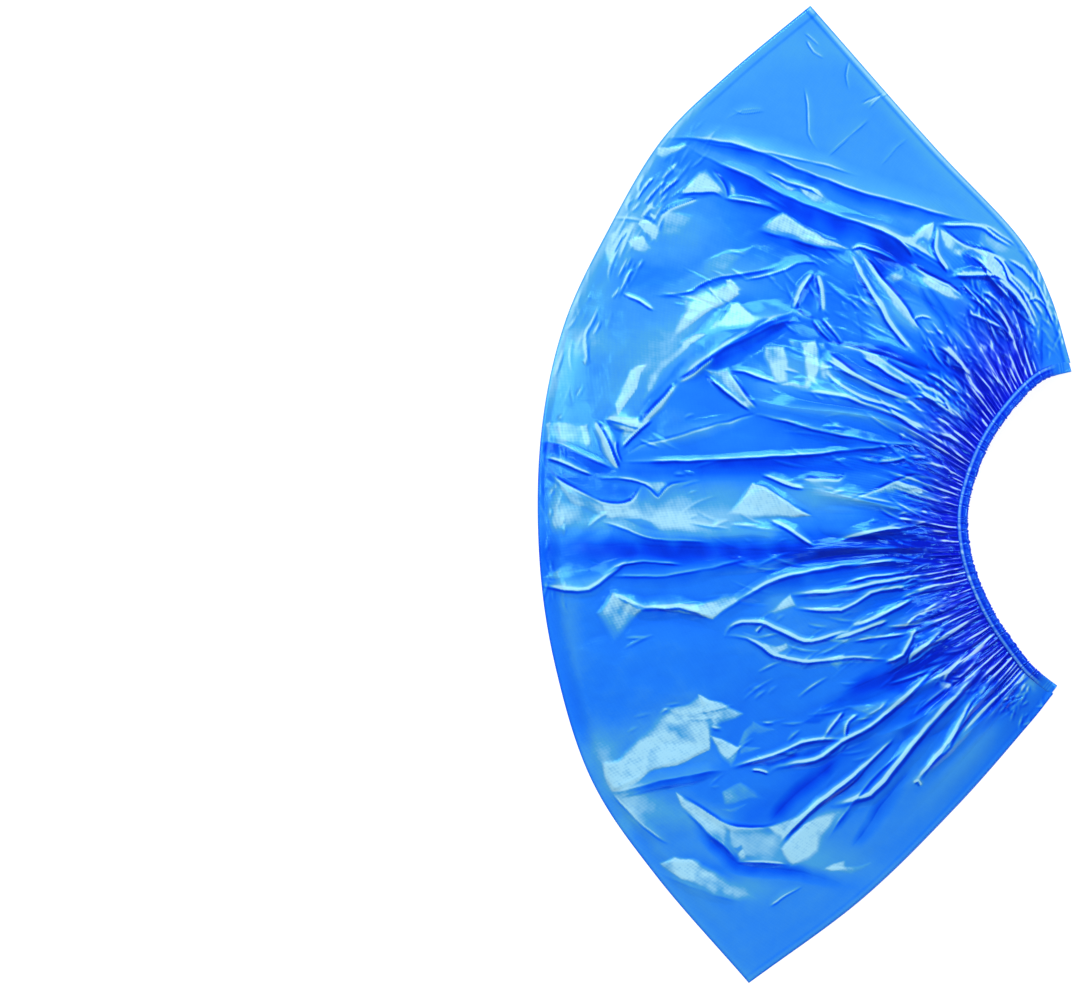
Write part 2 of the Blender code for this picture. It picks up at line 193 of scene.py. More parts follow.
filmLook = {
    # tone from painted shade in the deepest fold (0) through the film's own blue to a painted highlight
    # on film that stands off in the light (1)
    "tones": (
        (0.00, (0.000, 0.008, 0.52)),
        (0.22, (0.000, 0.042, 0.83)),
        (0.42, (0.002, 0.112, 0.91)),
        (0.60, (0.014, 0.207, 0.94)),
        (0.80, (0.066, 0.370, 0.77)),
        (1.00, (0.370, 0.740, 0.95)),
    ),
    # the same where the film is gathered into many layers
    "gatherTones": (
        (0.00, (0.001, 0.000, 0.50)),
        (0.30, (0.002, 0.001, 0.66)),
        (0.50, (0.012, 0.022, 0.80)),
        (0.70, (0.045, 0.080, 0.86)),
        (0.86, (0.150, 0.240, 0.96)),
        (1.00, (0.440, 0.680, 1.00)),
    ),
    "seeThrough": 0.10,
    "lightThrough": (0.30, 0.66, 1.0),
    "roughness": 0.17,
    "specular": 0.62,
    "glossTint": (0.14, 0.80, 1.0),
    "coat": 0.03,
    "coatRoughness": 0.08,
    "mottle": 420.0,
    "mottleAmount": 0.15,
    "cloud": 24.0,
    "cloudAmount": 0.08,
    # speckles, random mottle and the emboss's diamonds painted in as sparkle, show faintly on plain film
    # and, added to that, in the painted highlight patches
    "specklePlain": 0.12,
    "speckleInHighlight": 0.85,
    "embossPitch": 1.45 * mm,
    "embossTurn": 0.55,
    "embossStretch": 0.80,
    "embossDepth": 0.005 * mm,
    "embossAmount": 0.045,
}


def filmMaterial(name, look):
    # Tinted glossy film: tone attribute, with its painted light and shade, to colour; diamond emboss as
    # bump and, painted into the colour, as sparkle; a share of it clear
    material, nodes, links = blankMaterial(name)

    def joined(kind, *values):
        # One Math node: each value is a number or an output that feeds it
        node = nodes.new("ShaderNodeMath")
        node.operation = kind
        for k, value in enumerate(values):
            if isinstance(value, (int, float)):
                node.inputs[k].default_value = value
            else:
                links.new(value, node.inputs[k])
        return node.outputs[0]

    def attribute(label):
        node = nodes.new("ShaderNodeAttribute")
        node.attribute_name = label
        return node.outputs["Fac"]

    def noise(scale, detail):
        node = nodes.new("ShaderNodeTexNoise")
        node.inputs["Scale"].default_value = scale
        node.inputs["Detail"].default_value = detail
        links.new(place.outputs["Object"], node.inputs["Vector"])
        return node.outputs["Fac"]

    def ramped(value, stops):
        node = nodes.new("ShaderNodeValToRGB")
        for k, (where, colour) in enumerate(stops):
            stop = node.color_ramp.elements[k] if k < 2 else node.color_ramp.elements.new(where)
            stop.position = where
            stop.color = (*colour, 1)
        links.new(value, node.inputs["Fac"])
        return node.outputs["Color"]

    place = nodes.new("ShaderNodeTexCoord")
    # Emboss: two crossed waves of the film's own map make rows of small diamonds
    ownMap = nodes.new("ShaderNodeUVMap")
    ownMap.uv_map = "filmUv"
    turned = nodes.new("ShaderNodeMapping")
    turned.inputs["Rotation"].default_value = (0, 0, look["embossTurn"])
    spin = 2 * np.pi / look["embossPitch"]
    turned.inputs["Scale"].default_value = (spin, spin * look["embossStretch"], 1)
    links.new(ownMap.outputs["UV"], turned.inputs["Vector"])
    split = nodes.new("ShaderNodeSeparateXYZ")
    links.new(turned.outputs["Vector"], split.inputs["Vector"])
    diamonds = joined("MULTIPLY", joined("SINE", split.outputs["X"]), joined("SINE", split.outputs["Y"]))
    bump = nodes.new("ShaderNodeBump")
    bump.inputs["Strength"].default_value = 1.0
    bump.inputs["Distance"].default_value = look["embossDepth"]
    links.new(diamonds, bump.inputs["Height"])

    tone = joined("MULTIPLY_ADD", noise(look["cloud"], 3.0), look["cloudAmount"], attribute("filmTone"))
    # painted sparkle of the emboss's diamonds, strongest in the painted highlight patches, with random
    # mottle
    pale = joined("MULTIPLY_ADD", attribute("paintedHighlightPatch"), look["speckleInHighlight"], look["specklePlain"])
    centred = joined("SUBTRACT", noise(look["mottle"], 2.0), 0.5)
    mottled = joined("MULTIPLY_ADD", centred, look["mottleAmount"] * 2, 0.0)
    speckle = joined("MULTIPLY_ADD", diamonds, look["embossAmount"], mottled)
    tone = joined("SUBTRACT", joined("MULTIPLY_ADD", speckle, pale, tone), look["cloudAmount"] / 2)
    colour = nodes.new("ShaderNodeMix")
    colour.data_type = "RGBA"
    links.new(attribute("filmGather"), colour.inputs["Factor"])
    links.new(ramped(tone, look["tones"]), colour.inputs["A"])
    links.new(ramped(tone, look["gatherTones"]), colour.inputs["B"])

    shader = nodes.new("ShaderNodeBsdfPrincipled")
    shader.inputs["Roughness"].default_value = look["roughness"]
    shader.inputs["IOR"].default_value = 1.45
    shader.inputs["Specular IOR Level"].default_value = look["specular"]
    shader.inputs["Specular Tint"].default_value = (*look["glossTint"], 1)
    shader.inputs["Coat Weight"].default_value = look["coat"]
    shader.inputs["Coat Roughness"].default_value = look["coatRoughness"]
    links.new(colour.outputs["Result"], shader.inputs["Base Color"])
    links.new(bump.outputs["Normal"], shader.inputs["Normal"])
    links.new(bump.outputs["Normal"], shader.inputs["Coat Normal"])
    clear = nodes.new("ShaderNodeBsdfTransparent")
    clear.inputs["Color"].default_value = (*look["lightThrough"], 1)
    mix = nodes.new("ShaderNodeMixShader")
    mix.inputs["Fac"].default_value = 1 - look["seeThrough"]
    links.new(clear.outputs["BSDF"], mix.inputs[1])
    links.new(shader.outputs["BSDF"], mix.inputs[2])
    out = nodes.new("ShaderNodeOutputMaterial")
    links.new(mix.outputs["Shader"], out.inputs["Surface"])
    return material


# The cover's plan: shares of half its width and half its length, as the solids have it
coverPlan = {
    "soleFold": (
        (0.018, 1.000), (-0.285, 0.862), (-0.536, 0.727), (-0.735, 0.545),
        (-0.905, 0.345), (-0.990, 0.120), (-0.996, -0.130), (-0.935, -0.355),
        (-0.800, -0.585), (-0.560, -0.780), (-0.212, -1.000),
    ),
    "toeWeld": ((0.018, 1.000), (0.472, 0.713), (0.800, 0.518), (0.923, 0.393), (1.000, 0.252)),
    "heelWeld": ((-0.212, -1.000), (0.217, -0.824), (0.575, -0.631), (0.843, -0.464), (0.946, -0.393)),
    "cuff": (
        (1.000, 0.252), (0.880, 0.231), (0.770, 0.174), (0.675, 0.100),
        (0.612, 0.012), (0.594, -0.062), (0.622, -0.150), (0.700, -0.244),
        (0.812, -0.330), (0.870, -0.362), (0.946, -0.393),
    ),
    "tab": 10 * mm,  # plain end of the cuff before the elastic starts
    "hemWidth": 3.9 * mm,
    "underHem": 0.8,  # share of the hem's width that the film ends short of the cuff
    "webDepth": 150 * mm,  # from the sole fold to the cuff, laid flat
}


def planCurve(name):
    # One curve of the plan, in metres in the frame
    return through(np.array(coverPlan[name]) * halfSize + coverMiddle)


def filmGrid(columns, rows):
    # The web's plan between four curves, u from toe to heel and v from the sole to the cuff:
    # the blend of sole fold and cuff plus that of the two welds, less that of the four corners
    curves = {name: planCurve(name) for name in ("soleFold", "toeWeld", "heelWeld", "cuff")}
    arcs = {name: arcOf(curve)[-1] for name, curve in curves.items()}
    share = np.linspace(0, 1, columns)
    # the tabs keep their length, the stretch between them is gathered
    onSole, onCuff = coverPlan["tab"] / arcs["soleFold"], coverPlan["tab"] / arcs["cuff"]
    cuffShare = np.interp(share, [0, onSole, 1 - onSole, 1], [0, onCuff, 1 - onCuff, 1])
    v = np.linspace(0, 1, rows)
    sole = alongCurve(curves["soleFold"], share)
    tip = alongCurve(curves["cuff"], cuffShare)
    way = np.gradient(tip, axis=0)
    way /= np.linalg.norm(way, axis=1)[:, None]
    out = np.stack([-way[:, 1], way[:, 0]], -1)
    edge = tip - out * coverPlan["hemWidth"] * coverPlan["underHem"]
    toe = alongCurve(curves["toeWeld"], v)
    heel = alongCurve(curves["heelWeld"], v)
    toe += (edge[0] - toe[-1]) * v[:, None]
    heel += (edge[-1] - heel[-1]) * v[:, None]
    a, b = share[:, None, None], v[None, :, None]
    plan = (1 - b) * sole[:, None] + b * edge[:, None] + (1 - a) * toe[None] + a * heel[None]
    plan -= (1 - b) * ((1 - a) * sole[0] + a * sole[-1]) + b * ((1 - a) * edge[0] + a * edge[-1])
    u, v = np.broadcast_arrays(share[:, None], v[None, :])
    s = np.broadcast_to(cuffShare[:, None], u.shape)
    return {"x": plan[..., 0], "y": plan[..., 1], "u": u, "v": v, "s": s,
            "webLength": arcs["soleFold"], "tabShare": onCuff}


# Creases of the upper film, in millimetres from the cover's middle. Each row: the path,
# the height at its start, middle and end, the reach of its left and of its right flank
# at the same three places, and the painted light on its left and on its right flank, below zero a
# painted shade.
# Left is the left hand of someone who walks the path.
creaseTable = {
    "toeTick": ([(-26, 136.5), (-23, 135), (-14.5, 136)],
        (0.05, 0.2, 0), (2, 4, 2), (2, 3, 2), 0.05, -0.02),
    "toeMark": ([(-0.5, 144.5), (0.5, 138), (1, 127.5), (4.5, 121.5)],
        (0.1, 0.3, 0.05), (1.5, 3, 1.5), (2, 4, 2), 0.09, -0.03),
    "toeFleck": ([(19.5, 137.5), (24, 140), (28, 141.5)],
        (0.1, 0.3, 0.1), (1, 3, 4), (2, 3, 3), 0.03, 0.09),
    "toeFaint": ([(7.5, 119), (22.5, 133)],
        (0, 0.2, 0), (4, 6, 4), (2, 4, 2), 0.05, -0.03),
    "tipNick": ([(-0.5, 163), (5, 158.5)],
        (0.05, 0.2, 0.05), (2, 3, 2), (2, 3, 2), 0.05, -0.02),
    "toeRidge": ([(-50.5, 126), (-34.5, 125.5), (-19.5, 122), (-4, 115.5), (13.5, 108.5),
        (30.5, 103.5), (45.5, 99.5), (63.5, 95.5)],
        (0.6, 1.2, 0.7), (5, 9, 5), (4, 6, 4), 0.15, -0.52),
    "toeSecond": ([(-41, 122), (-29.5, 116.5), (-19.5, 112), (-12, 107.5), (7.5, 99.5), (26.5, 93),
        (34, 88), (50, 77.5)],
        (0.8, 1.3, 0.8), (3, 4, 2), (5, 10, 5), 0.16, -0.56),
    "toeFourth": ([(8.5, 98), (26.5, 93.5), (47.5, 81), (52, 77.5)],
        (0.8, 1.6, 0.6), (2, 3, 2), (2, 4, 2), 0.25, -0.2),
    "kiteTail": ([(-29.5, 105), (-19.5, 103), (-13, 101.5), (-9, 99.5)],
        (0.8, 1.0, 0.4), (2, 2, 1), (2, 4, 2), 0.2, -0.4),
    "bandLine": ([(-17.5, 93.5), (-1.5, 89), (13.5, 85.5)],
        (0.4, 1.6, 1.6), (6, 6, 3), (2, 4, 3), 0.1, -0.3),
    "tabSweepA": ([(49.5, 76.5), (64.5, 76.5), (73.5, 70), (80.5, 59.5)],
        (1.2, 2, 1.2), (2, 4, 2), (2, 4, 2), 0.4, -0.25),
    "tabSweepB": ([(57, 85.5), (66, 77.5), (76.5, 65), (81.5, 57)],
        (1.6, 1.8, 1), (2, 3, 2), (2, 4, 2), 0.42, -0.2),
    "tabSweepC": ([(71.5, 78), (78.5, 70.5), (84, 62.5)],
        (1.2, 1.4, 0.8), (2, 3, 2), (2, 3, 2), 0.3, -0.1),
    "tabSweepD": ([(56, 64), (68.5, 58.5), (74, 52.5)],
        (1, 1.6, 1), (2, 3, 2), (2, 3, 2), 0.38, -0.2),
    "dash": ([(-64.5, 71), (-59, 68), (-53.5, 65)],
        (0.2, 0.6, 0.2), (0.8, 1.2, 0.8), (0.8, 1.2, 0.8), 0.34, -0.16),
    "diagonal": ([(-45.5, 39.5), (-37.5, 46), (-29.5, 51.5), (-18, 59), (-5.5, 64)],
        (2.4, 3.6, 3.0), (6, 12, 5), (3, 8, 5), 0.22, -0.62),
    "leftStroke": ([(-74.5, 26), (-72, 21.5), (-69, 15.5), (-66.5, 9)],
        (1.2, 2, 1), (2, 4, 2), (2, 3, 2), 0.2, 0.55),
    "leftKnee": ([(-70.5, 27), (-64, 25), (-57.5, 23)],
        (1.4, 2, 1.6), (3, 6, 3), (2, 4, 3), 0.25, -0.3),
    "slowFan": ([(-19.5, 28.5), (1, 23), (26.5, 18), (40.5, 17)],
        (0.8, 1.2, 0.6), (2, 3, 2), (2, 4, 2), 0.22, -0.16),
    "cuffLineA": ([(5.5, 50.5), (16, 42), (26.5, 37), (37, 33.5)],
        (1.4, 2.2, 1), (2, 4, 2), (2, 4, 2), -0.1, 0.42),
    "cuffLineB": ([(20.5, 50.5), (33, 42.5), (45.5, 36), (57, 26)],
        (1, 2.2, 1.4), (2, 3, 2), (2, 4, 2), -0.2, 0.42),
    "cuffLineD": ([(35, 34.5), (45.5, 33), (56, 25.5)],
        (0.8, 1.8, 1.2), (2, 3, 2), (2, 3, 2), 0.42, -0.2),
    "cuffLineE": ([(-4, 37), (13.5, 33.5), (34, 26), (45.5, 18)],
        (0.6, 1.8, 1), (3, 4, 2), (2, 4, 2), 0.25, -0.14),
    "cuffLineF": ([(36.5, 25.5), (41.5, 22.5), (49.5, 20.5), (54.5, 17)],
        (0.8, 1.6, 1), (2, 3, 2), (2, 3, 2), 0.45, -0.15),
    "cuffLineG": ([(45.5, 52.5), (52, 47.5), (58.5, 41)],
        (0.8, 1.6, 1), (2, 3, 2), (2, 3, 2), 0.35, -0.15),
    "cuffLineH": ([(24, 11.5), (30.5, 12), (34, 13)],
        (0.6, 1, 0.6), (1, 2, 1), (1, 2, 1), 0.45, -0.1),
    "midDash": ([(-16.5, 7), (-9, 4), (-2, 2)],
        (0.6, 1.2, 0.4), (2, 3, 1), (1, 2, 1), 0.5, -0.15),
    "midHook": ([(-3, 5.5), (10, 5), (12.5, 7.5)],
        (0.4, 1, 0.6), (2, 3, 1), (2, 3, 2), -0.1, 0.4),
    "triangleEdge": ([(-19.5, 4), (-9, -2.5), (1, -8.5)],
        (1.6, 1.8, 0.8), (2, 3, 2), (6, 9, 2), -0.2, 0.1),
    "tailStrokeA": ([(-14, -9), (-6.5, -13), (2.5, -18.5)],
        (0.8, 1.4, 0.4), (2, 3, 1), (2, 3, 1), 0.45, -0.1),
    "tailStrokeB": ([(7.5, -17), (19, -13.5), (34.5, -11)],
        (0.6, 1.8, 1), (2, 4, 2), (2, 3, 2), 0.42, -0.25),
    "deepValley": ([(-93.5, -18.5), (-63, -18), (-37.5, -19), (1, -20.5), (40.5, -19)],
        (-0.1, -0.4, -0.3), (7, 10, 7), (6, 8, 6), -0.42, -0.38),
    "lensLow": ([(-93.5, -32), (-85.5, -33.5), (-77, -33), (-70.5, -28.5), (-63, -23)],
        (0.8, 1.8, 1), (5, 7, 2), (2, 3, 2), 0.35, -0.1),
    "longCurve": ([(-70.5, -28.5), (-50, -28.5), (-29.5, -24.5), (-19.5, -22)],
        (0.4, 1.0, 0.5), (2, 3, 2), (3, 5, 3), 0.14, -0.2),
    "wedge": ([(-69, -34), (-57.5, -39.5), (-45, -39), (-33.5, -43.5)],
        (1.6, 2.4, 2.4), (2, 4, 3), (3, 5, 3), 0.3, -0.3),
    "wedgeRise": ([(-33.5, -43.5), (-24.5, -37), (-14.5, -31), (1, -26.5), (24, -23.5),
        (45.5, -25)],
        (2.0, 2.0, 1.0), (2, 3, 2), (3, 7, 4), 0.26, -0.36),
    "smallTop": ([(-6.5, -35), (13.5, -33), (36.5, -28.5)],
        (1.4, 2, 1), (2, 3, 2), (2, 3, 2), 0.35, -0.12),
    "smallLow": ([(-4.5, -39.5), (11, -40.5), (21.5, -34.5), (39, -31)],
        (0.8, 1.6, 1), (2, 3, 2), (2, 4, 2), 0.38, -0.15),
    "rayA": ([(15, -46), (26.5, -41.5), (39, -34.5)],
        (0.8, 2, 1), (2, 3, 2), (2, 4, 2), 0.4, -0.15),
    "rayB": ([(26.5, -59), (33, -56), (38, -46)],
        (0.8, 1.8, 1), (2, 3, 2), (2, 3, 2), 0.5, -0.2),
    "rayC": ([(34.5, -57.5), (40.5, -53.5), (47.5, -47)],
        (0.8, 1.8, 1), (2, 3, 2), (2, 3, 2), 0.5, -0.2),
    "rayD": ([(8.5, -50), (13.5, -49), (27.5, -44)],
        (0.8, 1.4, 0.8), (2, 3, 2), (2, 3, 2), 0.45, -0.1),
    "ridgeD": ([(9.5, -109.5), (22.5, -105.5), (32, -94.5), (42, -81.5), (56, -66.5), (62.5, -61)],
        (1.6, 3.2, 1.6), (2, 3.5, 2), (3, 5, 3), 0.58, -0.25),
    "ridgeF": ([(39, -101), (45.5, -92), (58.5, -74), (64.5, -64.5)],
        (0.3, 1.6, 1), (2, 3, 2), (2, 4, 2), 0.3, -0.15),
    "darkLineB": ([(16, -125), (26.5, -109.5), (37, -97)],
        (-0.3, -0.7, -0.3), (2, 3, 2), (3, 5, 3), -0.28, -0.12),
    "heelFold": ([(-51.5, -133), (-41, -138.5), (-22, -143.5)],
        (0.3, 0.9, 0.3), (4, 7, 4), (2, 3, 2), 0, -0.06),
    "heelNick": ([(37.5, -102), (39, -101), (40, -103)],
        (0.3, 0.7, 0.2), (1, 2, 1), (1, 2, 1), 0.3, 0),
    "heelFaint": ([(-13, -145.5), (-1.5, -138)],
        (0, 0.4, 0), (2, 3, 2), (2, 3, 2), 0.12, -0.04),
    "soleCreaseA": ([(-69, -105), (-57.5, -117.5), (-47.5, -123.5)],
        (0.3, 0.6, 0.2), (2, 3, 2), (2, 3, 2), 0.08, -0.1),
    "endLoop": ([(64, 82), (66.5, 84), (70, 80.5), (71.5, 76), (76, 71), (81.5, 60.5)],
        (0.5, 1.2, 0.4), (1.5, 2.5, 1.5), (1.5, 2.5, 1.5), 0.56, -0.4),
    "endLoopIn": ([(62.5, 81), (64.5, 76), (68, 72.5), (72.5, 68)],
        (0.3, 0.8, 0.3), (1, 2, 1), (1, 2, 1), 0.46, -0.36),
    "endStrokeA": ([(71, 67.5), (76, 62.5), (80.5, 59)],
        (0.2, 0.7, 0.2), (1, 2, 1), (1, 1.5, 1), 0.48, -0.36),
    "endStrokeB": ([(72.5, 71), (76, 67.5), (78.5, 64)],
        (0.2, 0.6, 0.2), (1, 1.5, 1), (1, 1.5, 1), 0.44, -0.34),
    "endStrokeC": ([(57.5, 73), (63, 68), (69, 61), (71.5, 55.5)],
        (0.3, 0.8, 0.3), (1.5, 2, 1.5), (2, 3, 2), 0.34, -0.44),
    "endStrokeD": ([(54, 75), (59.5, 69), (65, 61)],
        (0.2, 0.7, 0.2), (1.5, 2, 1.5), (2, 3, 2), 0.24, -0.44),
    "endLevel": ([(52, 77), (59, 77), (66, 77), (71, 74.5)],
        (0.2, 0.7, 0.2), (1, 2, 1), (1, 2, 1), 0.44, -0.42),
    "endArcA": ([(77, 68), (81.5, 69), (85, 66.5), (88.5, 59.5)],
        (0.2, 0.7, 0.2), (1, 1.5, 1), (1, 2, 1), 0.36, -0.26),
    "endArcB": ([(71, 83), (77, 79.5), (83, 72.5), (86.5, 64.5)],
        (0.2, 0.7, 0.2), (1, 2, 1), (1, 2, 1), 0.34, -0.24),
    "lowTrough": ([(11, -70.5), (23.5, -65), (37, -59.5), (47.5, -53.5), (56, -49.5)],
        (-0.3, -0.9, -0.3), (3, 5, 3), (3, 5, 3), -0.3, -0.24),
    "rayFar": ([(7, -122), (15, -110), (25, -98), (35, -88.5)],
        (0.3, 0.9, 0.3), (2, 4, 2), (2, 3, 2), 0.1, -0.46),
    "toeStrokeA": ([(15.5, 153.5), (14.5, 148), (15.5, 142.5)],
        (0.05, 0.2, 0.05), (1.5, 3, 1.5), (1.5, 3, 1.5), 0.05, -0.03),
    "toeStrokeB": ([(0, 160.5), (2.5, 156.5), (6.5, 154.5)],
        (0.05, 0.2, 0.05), (1.5, 3, 1.5), (1.5, 3, 1.5), 0.07, -0.03),
    "toeStrokeC": ([(26.5, 116), (31.5, 122), (36, 126)],
        (0.05, 0.2, 0.05), (1.5, 3, 1.5), (1.5, 3, 1.5), 0.04, -0.03),
    "toeStrokeD": ([(-29, 132.5), (-22.5, 136), (-14.5, 136.5)],
        (0.05, 0.2, 0.05), (1.5, 3, 1.5), (1.5, 3, 1.5), 0.03, -0.02),
    "toeStrokeE": ([(22, 136), (26.5, 141), (32, 142.5)],
        (0.05, 0.3, 0.05), (1.5, 3, 1.5), (1.5, 3, 1.5), 0.05, -0.02),
    "toeFan": ([(-39.5, 125.5), (-23, 122), (-2, 118.5), (19, 112.5)],
        (0.1, 0.4, 0.1), (3, 6, 3), (3, 6, 3), 0.1, -0.1),
    "secondFacet": ([(-14.5, 114), (-7, 110.5), (2.5, 107.5), (7, 104)],
        (0.3, 0.9, 0.3), (1.5, 2, 1.5), (1.5, 2, 1.5), 0.38, -0.4),
    "bandCrease": ([(-53.5, 70), (-42.5, 71), (-39, 72.5), (-35, 75), (-31.5, 76), (-27.5, 77),
        (-21.5, 78), (-12.5, 79.5), (-7.5, 81.5)],
        (0.2, 0.6, 0.2), (4, 8, 4), (1.5, 2.5, 1.5), 0.1, -0.56),
    "bandUnder": ([(-23, 75.5), (-14.5, 77), (-7.5, 79), (-3.5, 81.5), (2.5, 82), (5, 79.5)],
        (0.2, 0.6, 0.2), (2, 3, 2), (2, 3, 2), 0.22, -0.1),
    "arrowLine": ([(-26.5, 68), (-29, 65), (-31.5, 60.5)],
        (0.2, 0.5, 0.2), (1, 1.5, 1), (1, 2, 1), -0.3, 0.1),
    "arrowUnder": ([(-13.5, 61.5), (-17, 60), (-19.5, 58), (-22, 56.5)],
        (0.2, 0.5, 0.2), (1, 1.5, 1), (1, 1.5, 1), -0.1, -0.6),
    "diagonalSecond": ([(-32.5, 48.5), (-29.5, 51), (-24.5, 53.5), (-19, 56.5), (-12.5, 59.5),
        (-5, 61.5)],
        (0.4, 1.2, 0.6), (1.5, 3, 1.5), (1.5, 3, 1.5), 0.2, -0.4),
    "diagonalWhite": ([(-45, 39.5), (-40, 42.5), (-36, 45.5), (-32.5, 48.5)],
        (0.6, 1.4, 0.6), (1.5, 2, 1.5), (1.2, 1.8, 1.2), -0.4, 0.56),
    "diagonalEdge": ([(-58.5, 25), (-54.5, 29.5), (-50, 34.5), (-45.5, 39)],
        (1.2, 2.0, 1.4), (2, 3, 2), (1.5, 2, 1.5), -0.4, 0.56),
    "ribLeft": ([(-36, 42), (-31, 37.5), (-25.5, 33.5), (-20, 29.5)],
        (0.6, 1.2, 0.4), (1.2, 2, 1), (1.2, 2, 1), 0.34, -0.52),
    "ribRight": ([(-28, 43), (-24.5, 38), (-21, 33.5), (-18, 30)],
        (0.6, 1.2, 0.4), (1.2, 2, 1), (1.2, 2, 1), -0.52, 0.3),
    "ribTop": ([(-27.5, 43.5), (-22.5, 43), (-17.5, 41.5), (-10.5, 39)],
        (0.4, 0.9, 0.3), (1.2, 2, 1), (1.2, 2, 1), 0.32, -0.44),
    "starLeft": ([(-5, 65), (-2.5, 71), (0.5, 76), (2.5, 78.5)],
        (1.6, 2.2, 1.2), (1.5, 2.5, 1.5), (1.5, 3, 1.5), 0.5, -0.34),
    "starRight": ([(3.5, 77.5), (4.5, 72.5), (5, 67.5), (5.5, 63.5)],
        (1.2, 2.0, 1.0), (1.5, 2, 1.5), (1.5, 2.5, 1.5), 0.42, -0.2),
    "starFoot": ([(-4.5, 65), (-1.5, 62.5), (2.5, 61.5)],
        (0.4, 0.8, 0.3), (1, 2, 1), (1, 2, 1), -0.4, 0.16),
    "starDownA": ([(5, 62), (8.5, 58), (12, 53)],
        (0.6, 1.2, 0.4), (1.2, 2, 1), (1.2, 2, 1), 0.4, -0.44),
    "starDownB": ([(2, 61.5), (5, 57), (8.5, 53.5)],
        (0.4, 0.9, 0.3), (1, 1.5, 1), (1, 1.5, 1), 0.26, -0.4),
    "veeLeftEdge": ([(15.5, 84.5), (18.5, 77), (23.5, 69), (27.5, 61.5), (32.5, 55), (37, 49.5)],
        (1.0, 1.8, 0.8), (1.5, 2, 1.5), (1.2, 2, 1.2), 0.44, -0.44),
    "veeRightEdge": ([(19, 84.5), (24, 78), (30, 71), (35, 64.5), (38.5, 58)],
        (1.0, 1.8, 0.8), (1.5, 2, 1.5), (1.2, 2, 1.2), -0.48, 0.4),
    "veeTop": ([(15, 86), (18.5, 87), (22, 86), (26.5, 84.5), (32, 82)],
        (0.4, 0.9, 0.3), (1, 1.5, 1), (1, 2, 1), 0.44, -0.2),
    "kneeTop": ([(35, 82), (42, 77), (49.5, 73.5), (54.5, 69.5)],
        (0.4, 1.2, 0.4), (1, 2, 1), (1.2, 2, 1.2), -0.52, 0.4),
    "kneeDarkA": ([(38.5, 74.5), (42, 68), (47, 61), (50.5, 55)],
        (-0.1, -0.3, -0.1), (1, 1.5, 1), (1, 1.5, 1), -0.3, -0.2),
    "kneeDarkB": ([(41, 73.5), (45.5, 68), (49, 62.5), (51, 57.5)],
        (-0.1, -0.3, -0.1), (1, 1.5, 1), (1, 1.5, 1), -0.24, -0.18),
    "kneeLight": ([(40, 57.5), (37.5, 61), (40.5, 62.5), (44, 61.5)],
        (0.2, 0.5, 0.2), (1, 1.5, 1), (1, 1.5, 1), 0.3, -0.2),
    "fanLineA": ([(5, 48), (9.5, 45), (15, 42), (20.5, 39.5), (27, 36), (33.5, 34)],
        (0.6, 1.6, 0.8), (1.5, 2.5, 1.5), (1.5, 2.5, 1.5), 0.44, -0.4),
    "fanLineB": ([(6, 42.5), (11, 37.5), (18, 34), (26.5, 31.5), (35.5, 28)],
        (0.6, 1.4, 0.8), (1.5, 3, 1.5), (1.5, 2.5, 1.5), 0.34, -0.26),
    "fanLineC": ([(6.5, 53), (14.5, 52), (22, 49.5), (30, 47), (40.5, 43)],
        (0.3, 0.9, 0.5), (1.5, 2, 1.5), (1.2, 2, 1.2), -0.4, 0.26),
    "fanLineD": ([(19, 48.5), (24, 45), (30.5, 41), (35, 39)],
        (0.4, 1.0, 0.4), (1.2, 2, 1.2), (1.2, 2, 1.2), 0.44, -0.56),
    "fanLineE": ([(41, 43), (46, 40.5), (50.5, 37.5), (54.5, 35)],
        (0.4, 1.2, 0.6), (1.2, 2, 1.2), (1.2, 2, 1.2), 0.5, -0.5),
    "fanLineF": ([(37.5, 37), (44, 32.5), (49.5, 29), (54.5, 26)],
        (0.6, 1.4, 0.6), (1.2, 2, 1.2), (1.2, 2, 1.2), 0.5, -0.56),
    "endPairA": ([(61, 72), (66, 69), (70, 64), (73, 58)],
        (0.3, 1.0, 0.3), (1.2, 2, 1.2), (1.2, 2, 1.2), 0.4, -0.4),
    "endPairB": ([(56.5, 69.5), (61.5, 67), (65.5, 62.5), (69, 58.5)],
        (0.2, 0.7, 0.2), (1, 1.5, 1), (1, 1.5, 1), 0.24, -0.3),
    "endPairC": ([(57.5, 77), (63, 77.5), (69, 76)],
        (0.2, 0.7, 0.2), (1, 1.5, 1), (1, 1.5, 1), 0.34, -0.24),
    "endPairD": ([(70, 74.5), (73.5, 70), (77, 65), (79.5, 61)],
        (0.3, 0.9, 0.3), (1, 1.5, 1), (1, 1.5, 1), 0.44, -0.44),
    "endTabLine": ([(83.5, 62.5), (83.5, 53), (83.5, 44.5)],
        (-0.1, -0.3, -0.1), (1, 1.5, 1), (1, 1.5, 1), -0.1, -0.34),
    "cuffPairA": ([(58, 44.5), (61.5, 40), (65, 36)],
        (0.2, 0.7, 0.2), (0.8, 1.2, 0.8), (0.8, 1.2, 0.8), 0.5, -0.4),
    "cuffPairB": ([(61.5, 45.5), (65, 41.5), (69, 37.5)],
        (0.2, 0.7, 0.2), (0.8, 1.2, 0.8), (0.8, 1.2, 0.8), 0.44, -0.4),
    "cuffPairC": ([(76.5, 54.5), (78, 50.5), (78.5, 45.5)],
        (0.2, 0.7, 0.2), (0.8, 1.2, 0.8), (0.8, 1.2, 0.8), 0.34, -0.3),
    "leftBand": ([(-93, 19), (-87, 18), (-80, 14.5), (-72.5, 11.5), (-68, 9)],
